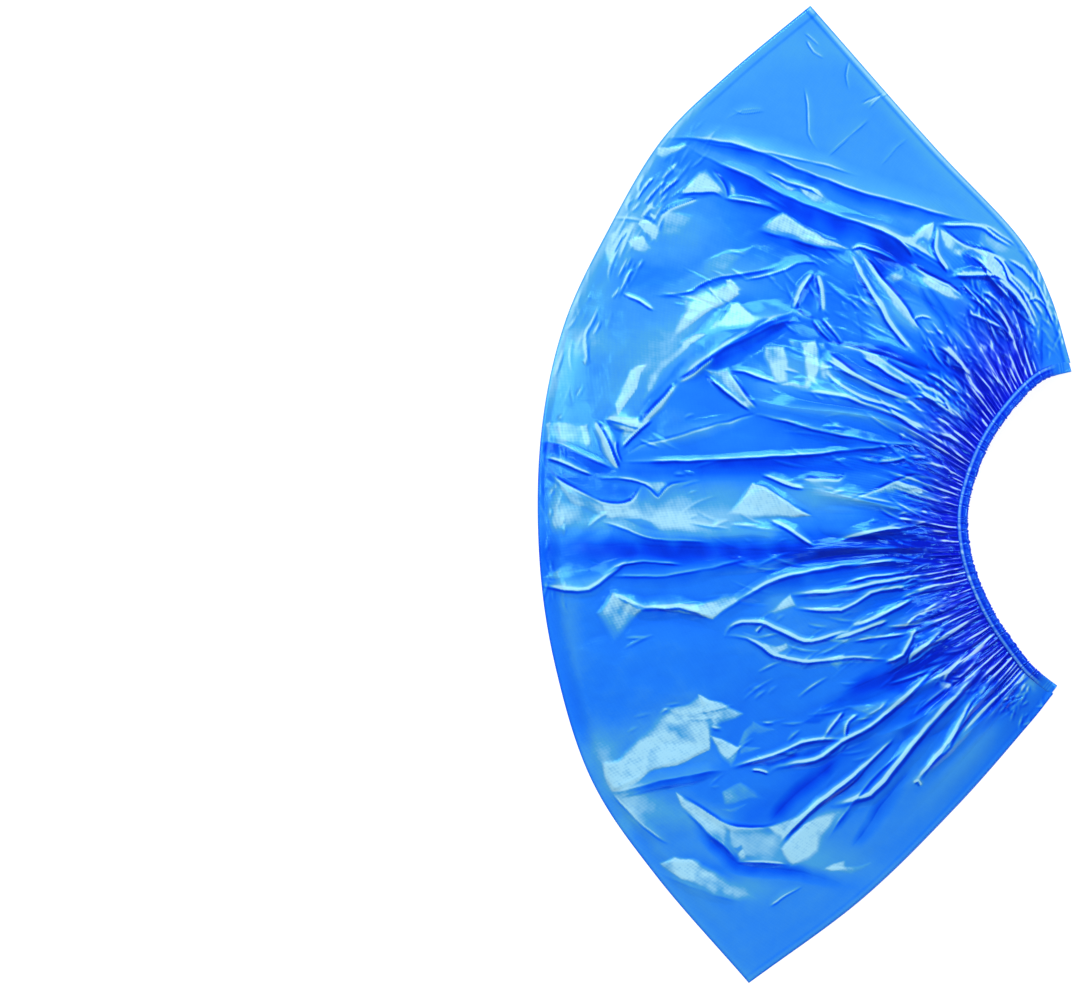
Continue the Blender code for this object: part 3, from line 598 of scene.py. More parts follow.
        (0.4, 1.0, 0.8), (1.5, 2, 1.5), (3, 5, 3), 0.16, -0.46),
    "leftEdgeA": ([(-92, 13), (-87.5, 12), (-82, 9.5), (-75.5, 7)],
        (0.4, 0.9, 0.3), (1.5, 2.5, 1.5), (1, 1.5, 1), 0.4, -0.3),
    "bandSweep": ([(-93, 11), (-90, 7), (-85, 3.5), (-79, 0.5), (-72.5, -2.5), (-66.5, -3.5),
        (-62, -2.5), (-59.5, 1), (-58, 3.5)],
        (0.4, 1.0, 0.4), (1.2, 2, 1.2), (2, 3, 2), -0.36, 0.3),
    "bandLip": ([(-74, 6.5), (-68.5, 6), (-62, 5.5), (-57, 4), (-53.5, 1)],
        (0.2, 0.6, 0.2), (1.5, 2.5, 1.5), (1, 2, 1), 0.26, -0.16),
    "bandVee": ([(-58, 3.5), (-55, 1), (-52.5, -1), (-50.5, 1.5), (-47.5, 3.5), (-41, 4.5)],
        (0.1, 0.5, 0.1), (1, 2, 1), (1, 2, 1), -0.4, 0.1),
    "valleyLip": ([(-72.5, -9.5), (-67.5, -11), (-61.5, -13.5), (-53.5, -15.5), (-44.5, -16),
        (-33, -17)],
        (0.2, 0.8, 0.3), (2, 3, 2), (2, 3, 2), 0.16, -0.26),
    "valleyLow": ([(-72.5, -29), (-68, -25.5), (-62, -24), (-53.5, -23.5), (-43.5, -24.5)],
        (0.2, 0.6, 0.2), (1.5, 2.5, 1.5), (1, 2, 1), 0.26, -0.1),
    "slowRidge": ([(-64.5, 13), (-58.5, 17), (-51, 19), (-41, 22), (-28.5, 25), (-16, 28.5)],
        (0.4, 1.0, 0.4), (3, 4, 3), (3, 4, 3), 0.1, 0.14),
    "levelLine": ([(-65.5, 11.5), (-51.5, 12), (-37.5, 12), (-7, 13.5), (13.5, 15.5), (34.5, 17.5)],
        (0.6, 1.0, 0.6), (1.5, 2, 1.5), (2, 4, 2.5), 0.26, -0.62),
    "starStroke": ([(-65, 16.5), (-62, 20), (-58.5, 23), (-55, 26.5)],
        (0.4, 1.0, 0.4), (1.2, 2, 1.2), (1, 1.5, 1), 0.5, -0.36),
    "starDark": ([(-67, 19), (-67, 15.5), (-65.5, 11)],
        (0.2, 0.5, 0.2), (1, 1.5, 1), (1, 1.5, 1), -0.46, 0.2),
    "starBright": ([(-69, 15.5), (-68, 12), (-66.5, 9)],
        (0.2, 0.6, 0.2), (0.8, 1.2, 0.8), (1, 1.5, 1), 0.1, 0.46),
    "loopTop": ([(-29, -49.5), (-27.5, -47), (-23, -45), (-16, -45), (-10, -47.5), (-4, -50.5),
        (1, -51.5), (6, -50), (11, -48), (14.5, -48)],
        (0.6, 1.5, 0.8), (1.5, 2, 1.5), (1.5, 2.5, 1.5), 0.44, -0.36),
    "loopLow": ([(-29, -49.5), (-21.5, -50.5), (-16, -53.5), (-12, -56), (-2, -58.5), (5, -58),
        (15.5, -57), (29, -58)],
        (0.5, 1.2, 0.6), (1.5, 2, 1.5), (1.5, 2.5, 1.5), 0.32, -0.3),
    "loopInner": ([(-18.5, -48.5), (-16.5, -46), (-15, -45)],
        (0.2, 0.5, 0.2), (1, 1.5, 1), (1, 1.5, 1), 0.26, -0.2),
    "loopFar": ([(15, -51), (23.5, -50), (33.5, -48.5)],
        (0.2, 0.6, 0.2), (1, 2, 1), (1, 2, 1), 0.26, -0.2),
    "heelLine": ([(-69, -105.5), (-55, -102), (-44.5, -99.5), (-35, -97.5), (-27.5, -97)],
        (0.6, 1.2, 0.8), (3, 4, 3), (2, 4, 2), 0.02, -0.46),
    "heelLineLow": ([(-66.5, -107), (-55, -104), (-44.5, -102), (-33, -99)],
        (0.1, 0.4, 0.1), (1, 1.5, 1), (1, 1.5, 1), -0.1, -0.24),
    "ridgeA": ([(-26.5, -96), (-16, -93), (-9, -90), (-2, -87), (5, -86), (13, -86)],
        (0.8, 1.6, 0.8), (1.2, 2, 1.2), (1.5, 3, 1.5), 0.3, -0.52),
    "ridgeB": ([(-13.5, -97.5), (-10.5, -95.5), (-5.5, -94.5), (2.5, -93), (7, -90.5), (11.5, -87),
        (15.5, -85), (21.5, -81.5), (26.5, -77), (33.5, -71.5), (42, -63), (47.5, -58)],
        (0.8, 2.4, 1.2), (1.5, 2.5, 1.5), (2, 3.5, 2), 0.46, -0.3),
    "ridgeSmall": ([(-19.5, -97), (-17, -97), (-13.5, -98)],
        (0.2, 0.5, 0.2), (1, 1.5, 1), (1, 1.5, 1), 0.3, -0.1),
    "ridgeMid": ([(4.5, -108.5), (12, -104), (19, -98), (23.5, -92.5), (30, -85)],
        (0.5, 1.4, 0.5), (1.5, 2.5, 1.5), (1.5, 2.5, 1.5), 0.36, -0.3),
    "smallLoop": ([(6, -84.5), (9.5, -80), (12.5, -76)],
        (0.4, 1.0, 0.4), (1, 2, 1), (1, 2, 1), 0.4, -0.4),
    "smallLoopB": ([(13, -85.5), (13.5, -81), (15.5, -78.5), (18, -76.5)],
        (0.4, 0.9, 0.4), (1, 2, 1), (1, 2, 1), 0.34, -0.36),
    "ridgeC": ([(-9.5, -122.5), (-5.5, -117.5), (-1.5, -113.5), (5, -108), (12, -102.5),
        (18.5, -97), (23.5, -92.5)],
        (0.8, 2.2, 0.8), (1.5, 2.5, 1.5), (1, 2, 1), 0.56, -0.6),
    "darkLineA": ([(-14, -116.5), (-7.5, -109.5), (-1.5, -104), (6, -97.5), (12, -92.5)],
        (-0.3, -0.8, -0.3), (3, 4, 3), (3, 4, 3), -0.34, -0.26),
    "heelValley": ([(-41.5, -112.5), (-36, -120), (-29.5, -126.5), (-24, -130.5), (-14.5, -132),
        (-2, -133.5), (13, -138.5)],
        (-0.4, -0.9, -0.4), (3, 4, 3), (3, 4, 2.5), -0.34, -0.3),
    "bowlTop": ([(-43.5, -106.5), (-37.5, -110.5), (-31, -115), (-24, -117.5), (-15.5, -117.5),
        (-10.5, -116)],
        (0.3, 0.8, 0.3), (1.2, 2, 1.2), (1.2, 2, 1.2), -0.44, 0.16),
    "bowlLow": ([(-24.5, -129.5), (-16, -129.5), (-7, -130.5)],
        (0.2, 0.6, 0.2), (1, 2, 1), (1, 2, 1), 0.26, -0.3),
    "bowlLeft": ([(-43, -111), (-38, -116), (-33, -121), (-29, -124), (-24.5, -129)],
        (0.3, 0.8, 0.3), (1.2, 2, 1.2), (1.2, 2, 1.2), 0.1, -0.44),
    "ridgeE": ([(38.5, -101), (42.5, -96), (46, -92), (49.5, -88.5), (52.5, -81), (56.5, -74),
        (60.5, -68)],
        (0.6, 1.8, 0.8), (1.5, 2.5, 1.5), (1.5, 3, 1.5), 0.34, -0.24),
    "nearLoopA": ([(56, -55.5), (52, -59), (48.5, -62.5), (47.5, -66)],
        (0.6, 1.2, 0.6), (1.2, 2, 1.2), (1.2, 2, 1.2), 0.2, 0.42),
    "nearLoopB": ([(50, -64), (53, -64), (56, -61.5), (59.5, -58.5)],
        (0.4, 1.0, 0.4), (1, 1.5, 1), (1, 2, 1), 0.52, -0.5),
    "nearLoopC": ([(35, -59.5), (36, -55.5), (38.5, -53.5), (42.5, -51.5)],
        (0.4, 1.0, 0.4), (1, 1.5, 1), (1, 2, 1), 0.16, 0.46),
    "nearLoopD": ([(35, -59), (38.5, -57.5), (42, -55), (44.5, -53)],
        (0.3, 0.8, 0.3), (1, 1.5, 1), (1, 2, 1), 0.34, -0.34),
    "heelTabLine": ([(68, -68.5), (69, -72.5), (71, -76.5), (74.5, -78.5)],
        (-0.1, -0.3, -0.1), (1, 1.5, 1), (1, 1.5, 1), -0.22, -0.1),
    "leftBrow": ([(-51, 98), (-48, 100.5), (-44, 102.5), (-38, 104)],
        (0.4, 0.9, 0.3), (1.2, 2, 1.2), (1.2, 2, 1.2), -0.42, 0.36),
    "kiteRight": ([(-33, 114.5), (-30.5, 111.5), (-28.5, 107.5), (-28, 104.5)],
        (0.3, 0.8, 0.3), (1, 1.5, 1), (1, 1.5, 1), -0.5, 0.2),
    "kiteUnder": ([(-45, 106.5), (-38, 106.5), (-32.5, 106.5), (-29, 104.5)],
        (0.3, 0.7, 0.3), (1, 1.5, 1), (1, 2, 1), 0.2, -0.46),
    "kiteLine": ([(-29.5, 104.5), (-22, 103.5), (-15.5, 102)],
        (0.2, 0.6, 0.2), (1, 1.5, 1), (1, 2, 1), 0.14, -0.46),
    "rimStrokeA": ([(-60, 104), (-57, 108.5), (-53.5, 112.5)],
        (0.2, 0.5, 0.2), (1, 1.5, 1), (1, 1.5, 1), 0.3, -0.2),
    "rimStrokeB": ([(-57, 102.5), (-53.5, 107), (-49.5, 111)],
        (0.2, 0.5, 0.2), (1, 1.5, 1), (1, 1.5, 1), 0.16, -0.36),
    "rimStrokeC": ([(-51.5, 105.5), (-48.5, 109), (-44.5, 112)],
        (0.2, 0.5, 0.2), (1, 1.5, 1), (1, 1.5, 1), 0.2, -0.26),
    "rimStrokeD": ([(-69, 84.5), (-66.5, 89.5), (-63, 93.5)],
        (0.2, 0.5, 0.2), (1, 1.5, 1), (1, 1.5, 1), 0.2, -0.2),
    "endLongDark": ([(61, 95.5), (65, 94), (69, 91.5), (72.5, 89.5), (75, 87.5)],
        (0.3, 0.9, 0.3), (1.5, 2, 1.5), (1, 1.5, 1), 0.1, -0.5),
    "endBright": ([(46, 95.5), (51, 95), (56.5, 95), (61.5, 94.5), (64.5, 93), (68, 90.5),
        (71.5, 88.5), (73.5, 87.5)],
        (0.6, 1.2, 0.4), (1, 1.5, 1), (1.2, 2, 1.2), 0.48, -0.34),
    "endRib": ([(46, 95), (45.5, 91.5), (45, 87), (46, 83.5), (47.5, 81), (50, 78)],
        (0.6, 1.6, 0.6), (1.2, 2, 1.2), (1.2, 2, 1.2), 0.56, -0.44),
    "endDiagonal": ([(47.5, 94), (51, 91), (55.5, 88), (60, 86.5), (64.5, 85), (68, 83.5)],
        (0.3, 0.9, 0.3), (1.2, 2, 1.2), (1.2, 2, 1.2), -0.44, 0.36),
    "endLeftEdge": ([(31, 91), (34, 88), (37.5, 84)],
        (0.3, 0.9, 0.3), (1.2, 2, 1.2), (1.2, 2, 1.2), 0.3, -0.44),
    "endLoopDark": ([(69, 82), (71, 79.5), (73, 77)],
        (0.2, 0.6, 0.2), (1, 1.5, 1), (1, 1.5, 1), -0.34, 0.36),
    "lipLine": ([(15, -1.5), (23, 1.5), (30.5, 4.5), (37.5, 7), (42.5, 6)],
        (0.3, 0.9, 0.3), (1.2, 2, 1.2), (1.5, 3, 1.5), -0.3, 0.24),
    "cuffLong": ([(14.5, -15.5), (21.5, -13.5), (29, -12), (35.5, -11), (42.5, -9)],
        (0.5, 1.2, 0.5), (1.2, 2, 1.2), (1.2, 2, 1.2), 0.44, -0.5),
    "cuffLongB": ([(12, -31), (20, -29), (28.5, -28), (36, -26)],
        (0.4, 1.0, 0.4), (1.2, 2, 1.2), (1.2, 2, 1.2), 0.36, -0.34),
    "cuffLongC": ([(13.5, -25.5), (21.5, -24), (30, -23), (37.5, -23.5)],
        (0.3, 0.8, 0.3), (1, 1.5, 1), (1, 1.5, 1), 0.34, -0.34),
    "softDropA": ([(13.5, 73), (17.5, 60), (19, 52.5)],
        (0, 0.8, 0), (3, 4, 3), (3, 4, 3), -0.1, -0.05),
}

# Small facets of film that stand up along their first edge: corners, lift, painted light (below zero,
# painted shade)
paneTable = {
    "valleyPaleA": ([(-14, 112.5), (-3.5, 108), (-5.5, 107), (-12, 110.5)], 0.6, 0.38),
    "valleyPaleB": ([(-3, 109), (5, 107), (11, 100.5), (3, 102.5)], 0.8, 0.48),
    "longBand": ([(-9, 99), (14.5, 86.5), (-1.5, 89.5), (-19, 93.5)], 1.8, 0.66),
    "tabPaneC": ([(63.5, 85), (71.5, 78), (70, 75.5), (62.5, 82.5)], 1.2, 0.5),
    "diagonalGlow": ([(-24, 70), (-40, 60), (-50, 52.5), (-40, 69), (-28, 74)], 1.4, 0.3),
    "leftPale": ([(-57, 45), (-66.5, 28), (-68, 31), (-63, 43)], 0.8, 0.58),
    "softA": ([(-29.5, 85.5), (-19.5, 87), (-29.5, 78), (-45, 73), (-46, 75.5)], 0.6, 0.1),
    "patchTriangle": ([(-19.5, 4), (1, -8.5), (-14.5, -9), (-28.5, -7.5)], 1.4, 0.46),
    "cuffPale": ([(26.5, 2.5), (40.5, 4), (39, 0), (27.5, -0.5)], 0.6, 0.25),
    "wedgeLeft": ([(-69, -34), (-57.5, -39.5), (-69, -52.5), (-74.5, -42.5)], 1.4, 0.46),
    "wedgeMid": ([(-33.5, -43.5), (-54, -39), (-34.5, -37), (-23, -34), (-24.5, -38)], 1.4, 0.52),
    "smallPane": ([(-6.5, -35), (-4.5, -38.5), (-12, -41.5), (-14.5, -41)], 1, 0.46),
    "arrowTop": ([(-29, 75), (-27.5, 75.5), (-23, 71.5), (-25, 70), (-28, 67.5), (-29, 69.5),
        (-28, 72.5)], 0.8, 0.66),
    "arrowBody": ([(-27.5, 67), (-25, 67.5), (-19, 64), (-13.5, 62.5), (-14, 61.5), (-21.5, 59.5),
        (-28.5, 58), (-35, 55.5), (-37.5, 55.5), (-35, 58), (-31, 61.5)], 1.0, 0.66),
    "arrowStroke": ([(-28, 69), (-29, 67.5), (-30.5, 64), (-33, 59.5), (-36, 56.5), (-34.5, 60.5),
        (-31.5, 64.5)], 0.4, 0.34),
    # painted light beside the arrow
    "arrowPaintedLight": ([(-41, 71.5), (-29.5, 73), (-29.5, 67), (-32.5, 62.5), (-37.5, 62.5),
        (-43.5, 64.5), (-44.5, 69)], 0.4, 0.2),
    "diagonalStrip": ([(-35, 55.5), (-41, 52), (-46, 48), (-51, 43), (-55.5, 36), (-58.5, 32.5),
        (-58, 37.5), (-54.5, 43.5), (-50, 48), (-44.5, 52.5), (-39, 55.5)], 0.8, 0.4),
    "diagonalDark": ([(-14, 61.5), (-21.5, 59), (-28.5, 57.5), (-35.5, 54.5), (-41, 50.5),
        (-48, 44.5), (-53.5, 38), (-58.5, 31.5), (-58, 30.5), (-51.5, 36.5), (-44.5, 42.5),
        (-37.5, 47.5), (-33, 49.5), (-26.5, 53.5), (-19.5, 57)], 0.2, -0.24),
    "diagonalDeep": ([(-2, 61.5), (-9, 60.5), (-15.5, 56.5), (-21.5, 53), (-27.5, 49), (-33, 47),
        (-34.5, 44), (-30.5, 43.5), (-26, 47), (-19.5, 51), (-12.5, 56), (-5.5, 59.5)], 0.2, -0.26),
    "rib": ([(-36.5, 43), (-28, 43.5), (-18.5, 30.5), (-20.5, 30), (-27.5, 36)], 0.8, 0.5),
    "ribSpot": ([(-24, 32.5), (-21, 33.5), (-18.5, 30.5), (-22, 31)], 0.3, 0.3),
    "ribTriangle": ([(-26.5, 44), (-20.5, 49), (-14.5, 52), (-14.5, 42), (-20.5, 43)], 0.4, 0.12),
    "paneA": ([(-15.5, 52), (-9, 52), (-8, 47.5), (-7.5, 39), (-10.5, 38.5), (-12.5, 40),
        (-13.5, 43.5), (-15.5, 48)], 1.0, 0.62),
    "paneB": ([(-2.5, 53), (2.5, 53.5), (3.5, 50.5), (3.5, 43.5), (3, 40), (-1, 37.5), (-3.5, 38.5),
        (-2, 42), (-2.5, 47.5)], 1.0, 0.66),
    "paneBridge": ([(-7.5, 53.5), (-2.5, 53.5), (-2.5, 50.5), (-5.5, 50)], 0.4, 0.4),
    "paneRim": ([(-10.5, 38.5), (-5.5, 39.5), (-1, 39), (3.5, 41.5), (3.5, 39.5), (-1, 37.5),
        (-6, 37.5)], 0.4, 0.34),
    "paneTail": ([(3.5, 47), (5, 47), (8, 42), (13, 37), (11.5, 36), (6.5, 38.5), (3.5, 40.5)],
        0.4, 0.34),
    "starPane": ([(3.5, 77), (5, 77), (6, 69), (7, 63.5), (3, 63.5), (3, 70)], 0.8, 0.46),
    "starShade": ([(2, 77), (3.5, 75.5), (2.5, 69), (2.5, 64), (-2, 65.5), (-3.5, 65), (-1, 71)],
        0.2, -0.16),
    "starKnot": ([(-10, 62.5), (-5.5, 65), (-2, 62.5), (-3.5, 61.5), (-6, 63.5)], 0.4, 0.34),
    "veeLeft": ([(15, 85), (18.5, 79.5), (21.5, 74.5), (25.5, 69), (27, 64.5), (30, 61), (35, 54.5),
        (38.5, 49.5), (36, 49.5), (32, 54), (27, 60.5), (23, 66.5), (18.5, 74.5), (16, 80)],
        1.0, 0.52),
    "veeRight": ([(18.5, 85), (23, 80), (27, 74.5), (32, 68), (36, 62.5), (39, 57.5), (37, 58.5),
        (33, 63.5), (28, 70), (23, 76), (20, 81)], 1.0, 0.5),
    "veeHead": ([(15, 85.5), (18.5, 85.5), (20.5, 81.5), (20, 78.5), (17, 81)], 0.5, 0.4),
    "veeShade": ([(20.5, 77), (23.5, 74.5), (28.5, 69), (32.5, 62.5), (37, 55.5), (38, 52),
        (33.5, 56.5), (29, 62.5), (25.5, 69), (22, 73.5)], 0.2, -0.2),
    "veeDeep": ([(20.5, 85), (26.5, 84), (32.5, 81), (28, 77), (25.5, 76), (23, 80.5)], 0.2, -0.38),
    "kneeArrow": ([(27.5, 76), (33.5, 81), (35.5, 78.5), (34, 76.5), (30, 74.5)], 0.6, 0.74),
    "kneeBand": ([(42.5, 75.5), (49.5, 72), (54.5, 68.5), (52, 67.5), (47, 69.5), (42, 72.5),
        (37.5, 76.5), (34.5, 81), (37.5, 79)], 1.0, 0.8),
    "fanWedge": ([(18.5, 51), (23.5, 49), (27.5, 45), (33.5, 41), (30, 42), (25, 44.5), (20.5, 48)],
        0.6, 0.56),
    # painted sheen on the fan
    "fanPaintedSheen": ([(7, 53), (15, 52), (18.5, 49.5), (13.5, 49), (8.5, 50.5)], 0.3, 0.24),
    "fanSpot": ([(3.5, 52.5), (5.5, 52.5), (6, 50.5), (4, 49.5)], 0.2, 0.6),
    "fanBlob": ([(41, 38.5), (44.5, 39), (47.5, 36), (45.5, 35), (42.5, 36)], 0.3, 0.44),
    "fanWhite": ([(40, 36), (44.5, 33.5), (50.5, 30.5), (55.5, 27), (54, 26), (49, 28.5),
        (43.5, 32)], 0.6, 0.76),
    "fanDeepA": ([(19, 53), (29, 51), (37.5, 46), (51, 43.5), (54, 40), (47.5, 41), (40, 44),
        (30.5, 47.5), (23.5, 50.5)], 0.2, -0.26),
    "endStrip": ([(61, 85.5), (66, 84.5), (69, 80), (73.5, 73.5), (76.5, 69), (79.5, 62), (78, 60),
        (75.5, 65), (71, 71), (67, 77), (63, 81)], 0.6, 0.4),
    "endDeepPane": ([(55.5, 65.5), (63.5, 64.5), (69, 58), (65, 55.5), (57.5, 58)], 0.2, -0.22),
    "endSpotA": ([(69, 57.5), (72, 57), (71.5, 54.5), (69.5, 54.5)], 0.2, 0.76),
    "endSpotB": ([(60.5, 53), (63.5, 53), (63.5, 50), (60.5, 50)], 0.2, 0.66),
    "endSpotC": ([(70, 54), (72.5, 54), (73.5, 49), (72, 48)], 0.2, 0.56),
    "endBlob": ([(48.5, 52), (51.5, 52), (55.5, 48), (57, 45), (51, 45.5), (47.5, 47.5)], 0.4, 0.6),
    "endBlobLow": ([(55, 43.5), (58, 46), (58.5, 43.5), (55.5, 40)], 0.3, 0.66),
    "leftWedgeDeep": ([(-93, 18.5), (-88.5, 18.5), (-81, 15.5), (-72.5, 11), (-66.5, 7.5),
        (-72.5, 6.5), (-76.5, 7.5), (-83.5, 11), (-88.5, 14), (-93, 15)], 0.2, -0.26),
    "pocketPane": ([(-87, 7.5), (-81.5, 7), (-74.5, 5.5), (-65.5, 4.5), (-58.5, 3.5), (-60, 0),
        (-62, -2.5), (-67.5, -3.5), (-72.5, -2), (-80, 1), (-86, 4.5)], 0.2, -0.18),
    "bandPane": ([(-88.5, 4.5), (-81.5, 0.5), (-72.5, -3.5), (-66.5, -5), (-61.5, -3.5), (-58, 0),
        (-55, 0.5), (-52.5, -2), (-49.5, 0.5), (-46, 2.5), (-37.5, 3), (-37.5, -16), (-44.5, -15),
        (-53.5, -13.5), (-62, -11), (-68.5, -9), (-76.5, -6), (-83.5, -2.5)], 0.6, 0.2),
    "bandCore": ([(-72, -3.5), (-65.5, -5), (-61.5, -4), (-58.5, 0), (-58, -7.5), (-64, -9),
        (-70.5, -8)], 0.3, 0.3),
    "bandTip": ([(-58, 4.5), (-51, 4.5), (-48.5, 3.5), (-51.5, 1), (-52.5, 0), (-55, 2.5)],
        0.3, 0.26),
    "bandTrough": ([(-64, -9.5), (-58.5, -8.5), (-54.5, -9), (-51, -12.5), (-55.5, -12),
        (-60, -11)], 0.2, -0.34),
    # painted sheen at the rim
    "rimPaintedSheen": ([(-92, 5), (-87, 2.5), (-78, -2.5), (-80, -9), (-87, -14.5), (-92, -16)],
        0.3, 0.26),
    "rimPale": ([(-92, 25.5), (-86, 26.5), (-74, 25), (-72.5, 19), (-74, 13.5), (-81.5, 17),
        (-88.5, 19), (-92, 19.5)], 0.3, 0.3),
    "lens": ([(-92, -29.5), (-87, -26.5), (-80, -24.5), (-73.5, -23.5), (-76.5, -26),
        (-81.5, -28.5), (-87, -30.5)], 0.6, 0.36),
    "starLeftPane": ([(-73.5, 26.5), (-69, 23), (-67, 18), (-68.5, 15), (-66.5, 9.5), (-70, 11),
        (-72, 17)], 0.5, 0.3),
    "starFacet": ([(-70.5, 26.5), (-59.5, 26.5), (-58, 23.5), (-62, 20.5), (-65, 17), (-66, 19),
        (-65, 22.5), (-68.5, 24)], 0.6, 0.46),
    "starNotch": ([(-70, 25.5), (-67, 25), (-64, 24), (-66.5, 22.5), (-69, 23)], 0.2, -0.34),
    "leftFlame": ([(-80, 25), (-77, 25.5), (-75.5, 16.5), (-77.5, 16), (-79, 20)], 0.3, 0.36),
    "heelPane": ([(-35, -90), (-68.5, -105), (-70.5, -101), (-72, -94.5), (-66.5, -93.5),
        (-62, -88), (-55.5, -82), (-51, -75.5), (-41.5, -73), (-38.5, -70.5), (-34.5, -72.5),
        (-34.5, -85)], 1.2, 0.56),
    "heelPaneRim": ([(-51, -75), (-41.5, -73), (-38.5, -70.5), (-35, -72.5), (-36, -78.5),
        (-42.5, -78.5)], 0.4, 0.16),
    "heelPaneTip": ([(-38.5, -70.5), (-22.5, -77.5), (-30.5, -80.5), (-34.5, -84.5), (-36, -78)],
        0.8, 0.46),
    "heelKite": ([(-34.5, -85), (-24, -88.5), (-25.5, -94), (-26.5, -96.5), (-29.5, -93),
        (-32.5, -88.5)], 0.8, 0.64),
    "heelKiteTail": ([(-24, -87.5), (-15.5, -89.5), (-24, -92)], 0.3, 0.26),
    "heelBlob": ([(-24, -87), (-21.5, -82.5), (-19, -80), (-17, -82), (-19.5, -84.5), (-22, -87)],
        0.3, 0.32),
    "heelBlobB": ([(-19, -80), (-11.5, -82.5), (-16, -84.5), (-19, -83.5)], 0.3, 0.2),
    "ridgeShade": ([(-15.5, -94.5), (-5.5, -91), (5, -87.5), (13, -86.5), (8.5, -89), (3.5, -91.5),
        (-5.5, -93), (-13.5, -95.5)], 0.2, -0.34),
    "ridgeDeep": ([(-2, -80), (8.5, -72), (19, -65.5), (33.5, -60), (33.5, -68.5), (26.5, -71.5),
        (19, -74), (12, -76.5), (3.5, -80.5)], 0.2, -0.2),
    "loopPane": ([(5, -51), (10.5, -48), (14.5, -47.5), (15.5, -49.5), (13, -52), (8.5, -51.5)],
        0.4, 0.46),
    "loopSpot": ([(-15.5, -52.5), (-8.5, -51.5), (-7, -53.5), (-11, -54.5), (-12.5, -56.5),
        (-14.5, -55)], 0.3, 0.44),
    "loopSpotB": ([(6, -57), (12, -55.5), (11.5, -58.5), (9.5, -61.5), (7, -59.5)], 0.3, 0.38),
    "loopFarPane": ([(14.5, -44.5), (26.5, -42.5), (25.5, -44), (15.5, -46)], 0.3, 0.34),
    "heelFacet": ([(-46, -105.5), (-43.5, -106.5), (-37.5, -111), (-30.5, -115), (-27.5, -118.5),
        (-28, -123), (-29.5, -124), (-33, -121), (-38, -116), (-43, -111)], 0.8, 0.62),
    "bowlPane": ([(-29.5, -116), (-24.5, -117.5), (-14.5, -117.5), (-8.5, -116), (-8.5, -121.5),
        (-10.5, -126), (-7.5, -130), (-16, -129.5), (-24, -129.5), (-26.5, -126), (-28, -123),
        (-27.5, -118.5)], 0.4, 0.24),
    "bowlSpot": ([(-24.5, -126.5), (-22.5, -125), (-21, -128.5), (-24.5, -129.5)], 0.2, 0.32),
    "bowlShade": ([(-25.5, -124.5), (-23, -123.5), (-22, -125), (-24.5, -126)], 0.2, -0.3),
    "shardTop": ([(-14, -117.5), (-7.5, -115), (-2, -112), (0.5, -112), (-5.5, -117.5),
        (-9, -121.5), (-11, -120)], 0.4, 0.4),
    "heelShard": ([(-8.5, -122.5), (-2, -116), (5, -112.5), (11.5, -110), (13.5, -112.5),
        (9.5, -117), (6, -121.5), (3.5, -127), (-2.5, -129.5), (-6, -132), (-8.5, -127),
        (-10, -124)], 0.8, 0.54),
    "heelSoft": ([(-51, -130), (-46, -128), (-37.5, -130), (-30.5, -133.5), (-24.5, -135.5),
        (-19.5, -139), (-16.5, -143), (-23, -143.5), (-32, -141), (-37.5, -139), (-43, -136.5),
        (-48, -132.5)], 0.8, 0.42),
    "heelSoftCore": ([(-47.5, -129), (-41, -129.5), (-33.5, -133.5), (-36.5, -138.5),
        (-41.5, -136)], 0.3, 0.22),
    "heelTriangle": ([(-30, -104.5), (-23, -101.5), (-13, -107.5), (-21.5, -107.5),
        (-29.5, -108.5)], 0.4, 0.24),
    "heelTriangleLow": ([(-30.5, -110.5), (-21, -109), (-25, -111.5)], 0.2, 0.14),
    "heelRightPane": ([(6, -132.5), (13, -129.5), (14.5, -133), (8, -134)], 0.3, 0.22),
    "ridgeHead": ([(60, -69.5), (61, -65.5), (62.5, -66.5), (66.5, -63), (65.5, -66), (62.5, -69)],
        0.3, 0.56),
    "loopBase": ([(45.5, -65.5), (49, -66.5), (52, -68), (49.5, -69), (46, -68)], 0.3, 0.66),
    "loopHole": ([(48, -65.5), (51.5, -66), (50, -67.5)], 0.1, -0.46),
    "loopInside": ([(49.5, -62), (53, -60), (54.5, -61.5), (51, -64)], 0.1, -0.26),
    "loopKnot": ([(58, -57), (60.5, -55.5), (62, -56.5), (59.5, -59), (58, -58.5)], 0.2, 0.56),
    "rayFill": ([(35.5, -58.5), (36, -55.5), (39, -53.5), (44, -52), (42.5, -55), (38.5, -57)],
        0.2, 0.22),
    "rayDeepA": ([(33.5, -69), (42, -61.5), (49.5, -53.5), (46, -52), (40.5, -57), (33.5, -61.5),
        (26.5, -65.5), (23, -69), (28, -70)], 0.2, -0.22),
    "rayDeepB": ([(47, -69), (52, -70.5), (47.5, -75), (42, -80), (33.5, -85.5), (30, -82.5),
        (35, -77), (41, -72.5)], 0.2, -0.22),
    "heelTabPane": ([(70, -65.5), (76, -62.5), (82, -65), (81.5, -70.5), (77, -70), (72.5, -69)],
        0.2, 0.2),
    "rimPatch": ([(-52.5, 123), (-43.5, 123), (-42, 122.5), (-47.5, 120), (-51.5, 118.5),
        (-53.5, 120.5)], 0.6, 0.44),
    "rimSpot": ([(-47.5, 116), (-45.5, 117), (-44, 114), (-46.5, 113.5)], 0.2, 0.56),
    "kite": ([(-43.5, 107.5), (-34.5, 106.5), (-28, 105), (-30, 108), (-33, 113), (-34.5, 115),
        (-37.5, 113.5), (-40, 111)], 1.0, 0.58),
    "kiteSpur": ([(-27, 110), (-25.5, 108.5), (-24.5, 105), (-27, 105)], 0.2, 0.5),
